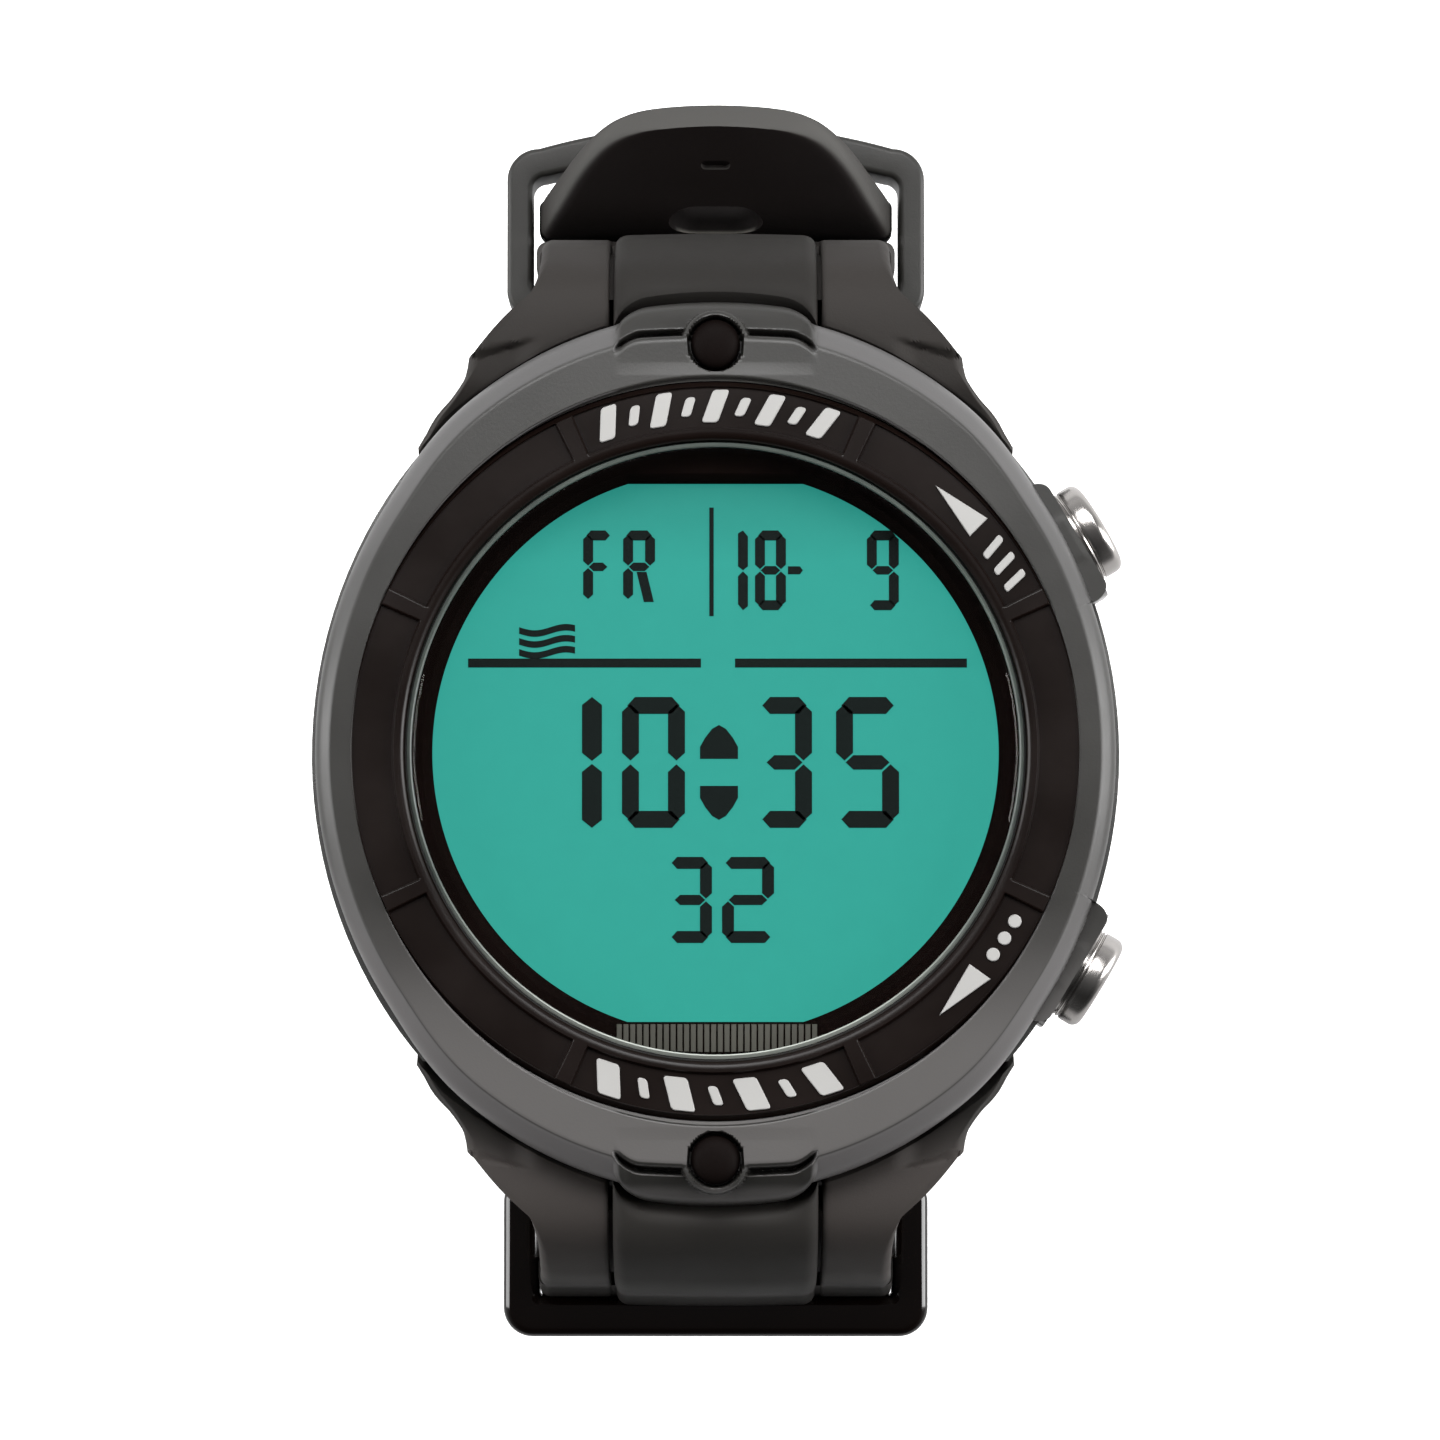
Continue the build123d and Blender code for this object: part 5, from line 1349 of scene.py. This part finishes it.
st = []
for z in np.linspace(-3.6, BEND_Z, 18):
    st.append(((side_y(z) - 0.07 - 0.62 * sstep((z + 13.0) / 6.0), z), (float(np.interp(-z, -INNER[:, 1], INNER[:, 0])) + 0.02 if z > -12 else SIDE_Y, z), STRAP_HALF + 0.38 * sstep((-z - 6.0) / 3.0)))
for s in np.linspace(S_BEND, 10.6, 70)[1:]:
    st.append((loop_point(s, STRAP_T), loop_point(s, 0), STRAP_HALF + 0.38 * sstep((s - S_BEND + 7.0) / 6.0)))
for s in (10.0, 9.2, 8.4, 7.6):
    st.append((loop_point(s, 2.8 + 0.2 * (s - 7.6) / 2.6), loop_point(s, 0.02), STRAP_HALF))
for d, k in ((0.35, 0.985), (0.7, 0.93), (1.0, 0.80), (1.2, 0.62), (1.33, 0.4), (1.39, 0.15)):
    st.append((loop_point(7.5 - d, 1.4 + 1.39 * k), loop_point(7.5 - d, 1.4 - 1.38 * k), STRAP_HALF - 0.1))
bv, bf = band(st, None)
V, F = merge([(bv, bf)])
up_band = raw_obj("tmp_up", V, F)
pl, ph = bx("buckle_pin")
pin = np.array([0, (pl[1] + ph[1]) / 2, (pl[2] + ph[2]) / 2])
cut1 = prism((0, 7.4, -40), (1, 0, 0), (0, 1, 0), (0, 0, 1), 3.2, 5.4, 6, 0.4)
cut_ob = raw_obj("tmp_cut", *cut1)
bool_cut(up_band, cut_ob)
cv, cf = lathe([(0, -14), (0.84, -14), (0.84, 14), (0, 14)], 32, centre=pin, ex=(0, 1, 0), ey=(0, 0, 1), ez=(1, 0, 0))
bool_cut(up_band, raw_obj("tmp_cut2", cv, cf))
bvv = np.array([v.co for v in up_band.data.vertices]) * 1000
bff = [tuple(p.vertices) for p in up_band.data.polygons]
bpy.data.objects.remove(up_band)
V, F = merge([(bvv, bff), (wv_up, wf), (mirror_x(wv_up), wf), (tv_up, tf), (gv_up, gf)])
make_obj("strap_upper_band", V, F, M["strap"], BODY_OF["strap_upper"], ["strap_upper"], 38)

# long strap (6 o'clock): base layer, climb at the buckle, outer layer, flared free end
st = []
for z in np.linspace(-3.6, BEND_Z, 18):
    st.append(((-side_y(z) + 0.07 + 0.5 * sstep((z + 13.0) / 6.0), z), (-float(np.interp(-z, -INNER[:, 1], INNER[:, 0])) - 0.02 if z > -12 else -SIDE_Y, z), STRAP_HALF))
for s in np.linspace(-S_BEND, -S_UNDER, 34)[1:]:
    st.append((loop_point(s, STRAP_T), loop_point(s, 0), STRAP_HALF))
for s in np.linspace(-S_UNDER, 12, 90)[1:]:
    st.append((loop_point(s, tail_in(s) + tail_t(s)), loop_point(s, tail_in(s)), STRAP_HALF))
for s in np.linspace(12, S_BEND, 60)[1:]:
    st.append((loop_point(s, LAP + TAIL_T), loop_point(s, LAP), STRAP_HALF))
for z in np.linspace(BEND_Z, -12.6, 10)[1:]:
    st.append(((SIDE_Y + LAP + TAIL_T, z), (SIDE_Y + LAP, z), STRAP_HALF + 0.28 * sstep((z + 18.0) / 4.0)))
flare_o = catmull([(37.75, -12.6), (37.85, -11.2), (38.35, -9.1), (40.0, -5.9), (42.55, -1.95)], 20)
flare_i = catmull([(35.15, -12.6), (35.2, -10.9), (35.95, -8.3), (37.95, -5.1), (41.05, -1.0)], 20)
NF = 120
flare_o, lo_ = resample(flare_o, 1200)
flare_i, li_ = resample(flare_i, 1200)
tq = 1 - (1 - np.linspace(0, 1, NF)) ** 1.7
idx = np.clip((tq * 1199).astype(int), 0, 1199)
REM = [0, 0.05, 0.15, 0.35, 0.7, 1.15, 1.8, 2.9, 4.5, 6.8, 8.7, 10.5, 12.5, 14.5]
WID = [0.10, 0.20, 0.30, 0.41, 0.505, 0.575, 0.64, 0.715, 0.795, 0.885, 0.945, 0.98, 0.997, 1.0]
_q = catmull(list(zip(REM, WID)), 12)
REM, WID = _q[:, 0], np.maximum.accumulate(_q[:, 1])
for k in range(1, NF):
    rem = lo_ * (1 - idx[k] / 1199.0)
    w = (STRAP_HALF + 0.28) * float(np.interp(rem, REM, WID))
    st.append((flare_o[idx[k]], flare_i[idx[k]], w, 0.55 + 0.35 * min(1.0, k / 40.0)))
bv, bf = band(st, None, 0.55, 26)
low = raw_obj("tmp_low", bv, bf)
cuts = []
for k in range(-4, 7):
    if k == -1:
        continue
    s = 4.05 + k * 6.78
    mid = tail_in(s) + tail_t(s) / 2
    p0 = loop_point(s - 0.3, tail_in(s - 0.3) + tail_t(s) / 2)
    p1 = loop_point(s + 0.3, tail_in(s + 0.3) + tail_t(s) / 2)
    pm = loop_point(s, mid)
    t = (p1 - p0) / np.linalg.norm(p1 - p0)
    cuts.append(prism((0, pm[0], pm[1]), (1, 0, 0), (0, t[0], t[1]), (0, t[1], -t[0]), 6.2, 4.2, 1.9, 1.4))
cuts.append(prism((0, 36.87, -9.15), (1, 0, 0), (0, 0.36, 0.933), (0, 0.933, -0.36), 6.2, 3.7, 2.4, 1.84))
# small blind dimple near the free end
cuts.append(prism((0, 38.95, -3.85), (1, 0, 0), (0, 0.58, 0.81), (0, 0.81, -0.58), 1.9, 0.8, 0.30, 0.35))
V, F = merge(cuts)
bool_cut(low, raw_obj("tmp_cuts", V, F))
bvv = np.array([v.co for v in low.data.vertices]) * 1000
bff = [tuple(p.vertices) for p in low.data.polygons]
bpy.data.objects.remove(low)
V, F = merge([(bvv, bff), (mirror_y(wv), wf), (mirror_y(mirror_x(wv)), wf), (mirror_y(tv_lo), tf), (mirror_y(gv), gf)])
make_obj("strap_lower_band", V, F, M["strap_long"], BODY_OF["strap_lower"], ["strap_lower"], 38)


# ---------------------------------------------------------------- keepers
def loop_band(name, outer, inner, z0, z1, mat, body, node, r=0.45):
    """Closed band whose section runs between outer and inner outlines (same point count), extruded z0..z1 with rounded edges."""
    O, I = np.array(outer), np.array(inner)
    n = len(O)
    mid = (O + I) / 2
    half = np.linalg.norm(O - I, axis=1) / 2
    d = (O - I) / np.maximum(np.linalg.norm(O - I, axis=1), 1e-9)[:, None]
    loops = []
    prof = []
    H = (z1 - z0) / 2
    for sx, sz, a0 in ((1, 1, 0), (-1, 1, 90), (-1, -1, 180), (1, -1, 270)):
        for a in np.radians(np.linspace(a0, a0 + 90, 7)):
            prof.append((sx, sz, math.cos(a), math.sin(a)))
    for sx, sz, ca, sa in prof:
        off = sx * (half - r) + r * ca
        z = (z0 + z1) / 2 + sz * (H - r) + r * sa
        loops.append(np.concatenate([mid + d * off[:, None], np.full((n, 1), z)], 1))
    V = np.stack(loops, 1)
    return make_obj(name, V.reshape(-1, 3), grid_faces(n, len(prof), True, True), mat, body, [node], 45)


def rounded_outline(x0, x1, ylo_fn, yhi_fn, r_lo, r_hi, n=200):
    """Closed outline, counter-clockwise, from lower left; ends rounded by superellipse corners."""
    pts = []
    w = x1
    xs = np.linspace(-w + r_lo, w - r_lo, 60)
    pts += [(x, ylo_fn(x)) for x in xs]
    pts += [(w - r_lo + r_lo * math.sin(t), ylo_fn(w) + r_lo - r_lo * math.cos(t)) for t in np.linspace(0, math.pi / 2, 12)[1:]]
    yt = yhi_fn(w - r_hi)
    pts += [(w, y) for y in np.linspace(ylo_fn(w) + r_lo, yt - r_hi, 30)[1:]]
    pts += [(w - r_hi + r_hi * math.cos(t), yt - r_hi + r_hi * math.sin(t)) for t in np.linspace(0, math.pi / 2, 12)[1:]]
    xs = np.linspace(w - r_hi, -w + r_hi, 90)[1:]
    pts += [(x, yhi_fn(x)) for x in xs]
    pts += [(-w + r_hi - r_hi * math.sin(t), yt - r_hi + r_hi * math.cos(t)) for t in np.linspace(0, math.pi / 2, 12)[1:]]
    pts += [(-w, y) for y in np.linspace(yt - r_hi, ylo_fn(w) + r_lo, 30)[1:]]
    pts += [(-w + r_lo - r_lo * math.cos(t), ylo_fn(w) + r_lo - r_lo * math.sin(t)) for t in np.linspace(0, math.pi / 2, 12)[1:-1]]
    return pts


klo, khi = bx("keeper_upper")
KW = khi[0]
top_o = lambda x: khi[1] + 0.75 - 2.3 * (np.abs(x) / 13.8) ** 2
top_i = lambda x: khi[1] - 1.35 - 1.7 * (np.abs(x) / 12.35) ** 2
out = rounded_outline(-KW, KW, lambda x: klo[1], top_o, 1.6, 2.1)
inn = rounded_outline(-KW + 1.68, KW - 1.68, lambda x: klo[1] + 1.5, top_i, 0.6, 0.9)
loop_band("keeper_upper_loop", out, inn, klo[2], khi[2], M["keeper_matte"], BODY_OF["keeper_upper"], "keeper_upper", 0.4)

klo, khi = bx("keeper_lower")
KW = khi[0]
lo_o = lambda x: klo[1] + 0 * x
out = rounded_outline(-KW, KW, lambda x: klo[1] + 0.1, lambda x: khi[1] + 0.8, 1.9, 1.3)
inn = rounded_outline(-11.5, 11.5, lambda x: klo[1] + 2.72, lambda x: khi[1] - 0.6, 0.15, 0.15)
loop_band("keeper_lower_loop", out, inn, klo[2], khi[2], M["keeper_gloss"], BODY_OF["keeper_lower"], "keeper_lower", 0.62)

# ---------------------------------------------------------------- stage, light, camera
sc = bpy.context.scene
sc.view_settings.view_transform = "Standard"


def stage_mat():
    m, nt, b, co, out = new_mat("floor_pale")
    n1 = noise(nt, co, 3.0, 2.0)
    cr = ramp(nt, n1.outputs[0], [(0.3, (0.90, 0.90, 0.90)), (0.7, (0.93, 0.93, 0.93))])
    lp = nt.nodes.new("ShaderNodeLightPath")
    bc = nt.nodes.new("ShaderNodeMixRGB")
    bc.inputs[1].default_value = (0.50, 0.50, 0.50, 1)
    nt.links.new(lp.outputs["Is Camera Ray"], bc.inputs[0])
    nt.links.new(cr.outputs[0], bc.inputs[2])
    nt.links.new(bc.outputs[0], b.inputs["Base Color"])
    b.inputs["Roughness"].default_value = 0.9
    b.inputs["Specular IOR Level"].default_value = 0.1
    nt.links.new(cr.outputs[0], b.inputs["Emission Color"])
    sy = nt.nodes.new("ShaderNodeSeparateXYZ")
    nt.links.new(co.outputs["Object"], sy.inputs[0])
    fy = nt.nodes.new("ShaderNodeMapRange")
    fy.interpolation_type = "SMOOTHSTEP"
    fy.inputs["From Min"].default_value = -0.06
    fy.inputs["From Max"].default_value = 0.05
    fy.inputs["To Min"].default_value = 0.01
    fy.inputs["To Max"].default_value = 0.30
    nt.links.new(sy.outputs["Y"], fy.inputs[0])
    em = nt.nodes.new("ShaderNodeMix")
    em.inputs[3].default_value = 0.6
    nt.links.new(lp.outputs["Is Camera Ray"], em.inputs[0])
    nt.links.new(fy.outputs[0], em.inputs[2])
    nt.links.new(em.outputs[0], b.inputs["Emission Strength"])
    geo = nt.nodes.new("ShaderNodeNewGeometry")
    tr = nt.nodes.new("ShaderNodeBsdfTransparent")
    mx = nt.nodes.new("ShaderNodeMixShader")
    nt.links.new(geo.outputs["Backfacing"], mx.inputs[0])
    nt.links.new(b.outputs[0], mx.inputs[1])
    nt.links.new(tr.outputs[0], mx.inputs[2])
    nt.links.new(mx.outputs[0], out.inputs[0])
    return m


lo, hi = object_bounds()
zf = lo[2] - 0.0005
me = bpy.data.meshes.new("floor")
R_ = 3.0
me.from_pydata([(-R_, -R_, zf), (R_, -R_, zf), (R_, R_, zf), (-R_, R_, zf)], [], [(0, 1, 2, 3)])
floor = bpy.data.objects.new("floor", me)
sc.collection.objects.link(floor)
me.materials.append(stage_mat())

world = bpy.data.worlds.new("studio")
sc.world = world
world.use_nodes = True
wn = world.node_tree
wn.nodes.clear()
wo = wn.nodes.new("ShaderNodeOutputWorld")
bg = wn.nodes.new("ShaderNodeBackground")
wc = wn.nodes.new("ShaderNodeTexCoord")
sp = wn.nodes.new("ShaderNodeSeparateXYZ")
wn.links.new(wc.outputs["Generated"], sp.inputs[0])
mz = wn.nodes.new("ShaderNodeMapRange")
mz.interpolation_type = "SMOOTHSTEP"
mz.inputs["From Min"].default_value = 0.05
mz.inputs["From Max"].default_value = 0.75
mz.inputs["To Min"].default_value = 0.8
mz.inputs["To Max"].default_value = 0.10
wn.links.new(sp.outputs["Z"], mz.inputs[0])
my = wn.nodes.new("ShaderNodeMapRange")
my.interpolation_type = "SMOOTHSTEP"
my.inputs["From Min"].default_value = -0.9
my.inputs["From Max"].default_value = 0.1
my.inputs["To Min"].default_value = 0.10
my.inputs["To Max"].default_value = 1.0
wn.links.new(sp.outputs["Y"], my.inputs[0])
mul = wn.nodes.new("ShaderNodeMath")
mul.operation = "MULTIPLY"
wn.links.new(mz.outputs[0], mul.inputs[0])
wn.links.new(my.outputs[0], mul.inputs[1])
bg.inputs["Color"].default_value = (1, 1, 1, 1)
# the studio is pale wherever the camera sees past the floor
lp = wn.nodes.new("ShaderNodeLightPath")
pale = mth(wn, "MULTIPLY", lp.outputs["Is Camera Ray"], 0.80)
wn.links.new(mth(wn, "MAXIMUM", mul.outputs[0], pale), bg.inputs["Strength"])
wn.links.new(bg.outputs[0], wo.inputs[0])


def area(name, loc, target, sx, sy, power, spread=None):
    ld = bpy.data.lights.new(name, "AREA")
    ld.shape = "RECTANGLE"
    ld.size, ld.size_y = sx, sy
    ld.energy = power
    if spread:
        ld.spread = math.radians(spread)
    o = bpy.data.objects.new(name, ld)
    sc.collection.objects.link(o)
    o.location = loc
    d = Vector(target) - Vector(loc)
    o.rotation_mode = "QUATERNION"
    o.rotation_quaternion = d.to_track_quat("-Z", "Y")
    return o


area("key_top", (0.0, 0.36, 0.52), (0, 0, 0), 0.5, 0.25, 4.8)
area("side_left", (-0.45, 0.03, 0.13), (0, 0, 0), 0.2, 0.5, 2.9)
area("side_right", (0.45, 0.03, 0.13), (0, 0, 0), 0.2, 0.5, 4.1)

cam_data = bpy.data.cameras.new("camera")
cam = bpy.data.objects.new("camera", cam_data)
sc.collection.objects.link(cam)
cam_data.sensor_width = 36.0
fov = 2 * math.atan((1440 / 2 / PX) / CAM_D)
cam_data.lens = 18.0 / math.tan(fov / 2)
cam_data.clip_start = 0.02
cam_data.clip_end = 20
cam.location = Vector(CAM * MM)
cam.rotation_mode = "QUATERNION"
cam.rotation_quaternion = (Vector(AIM * MM) - Vector(CAM * MM)).to_track_quat("-Z", "Y")
sc.camera = cam
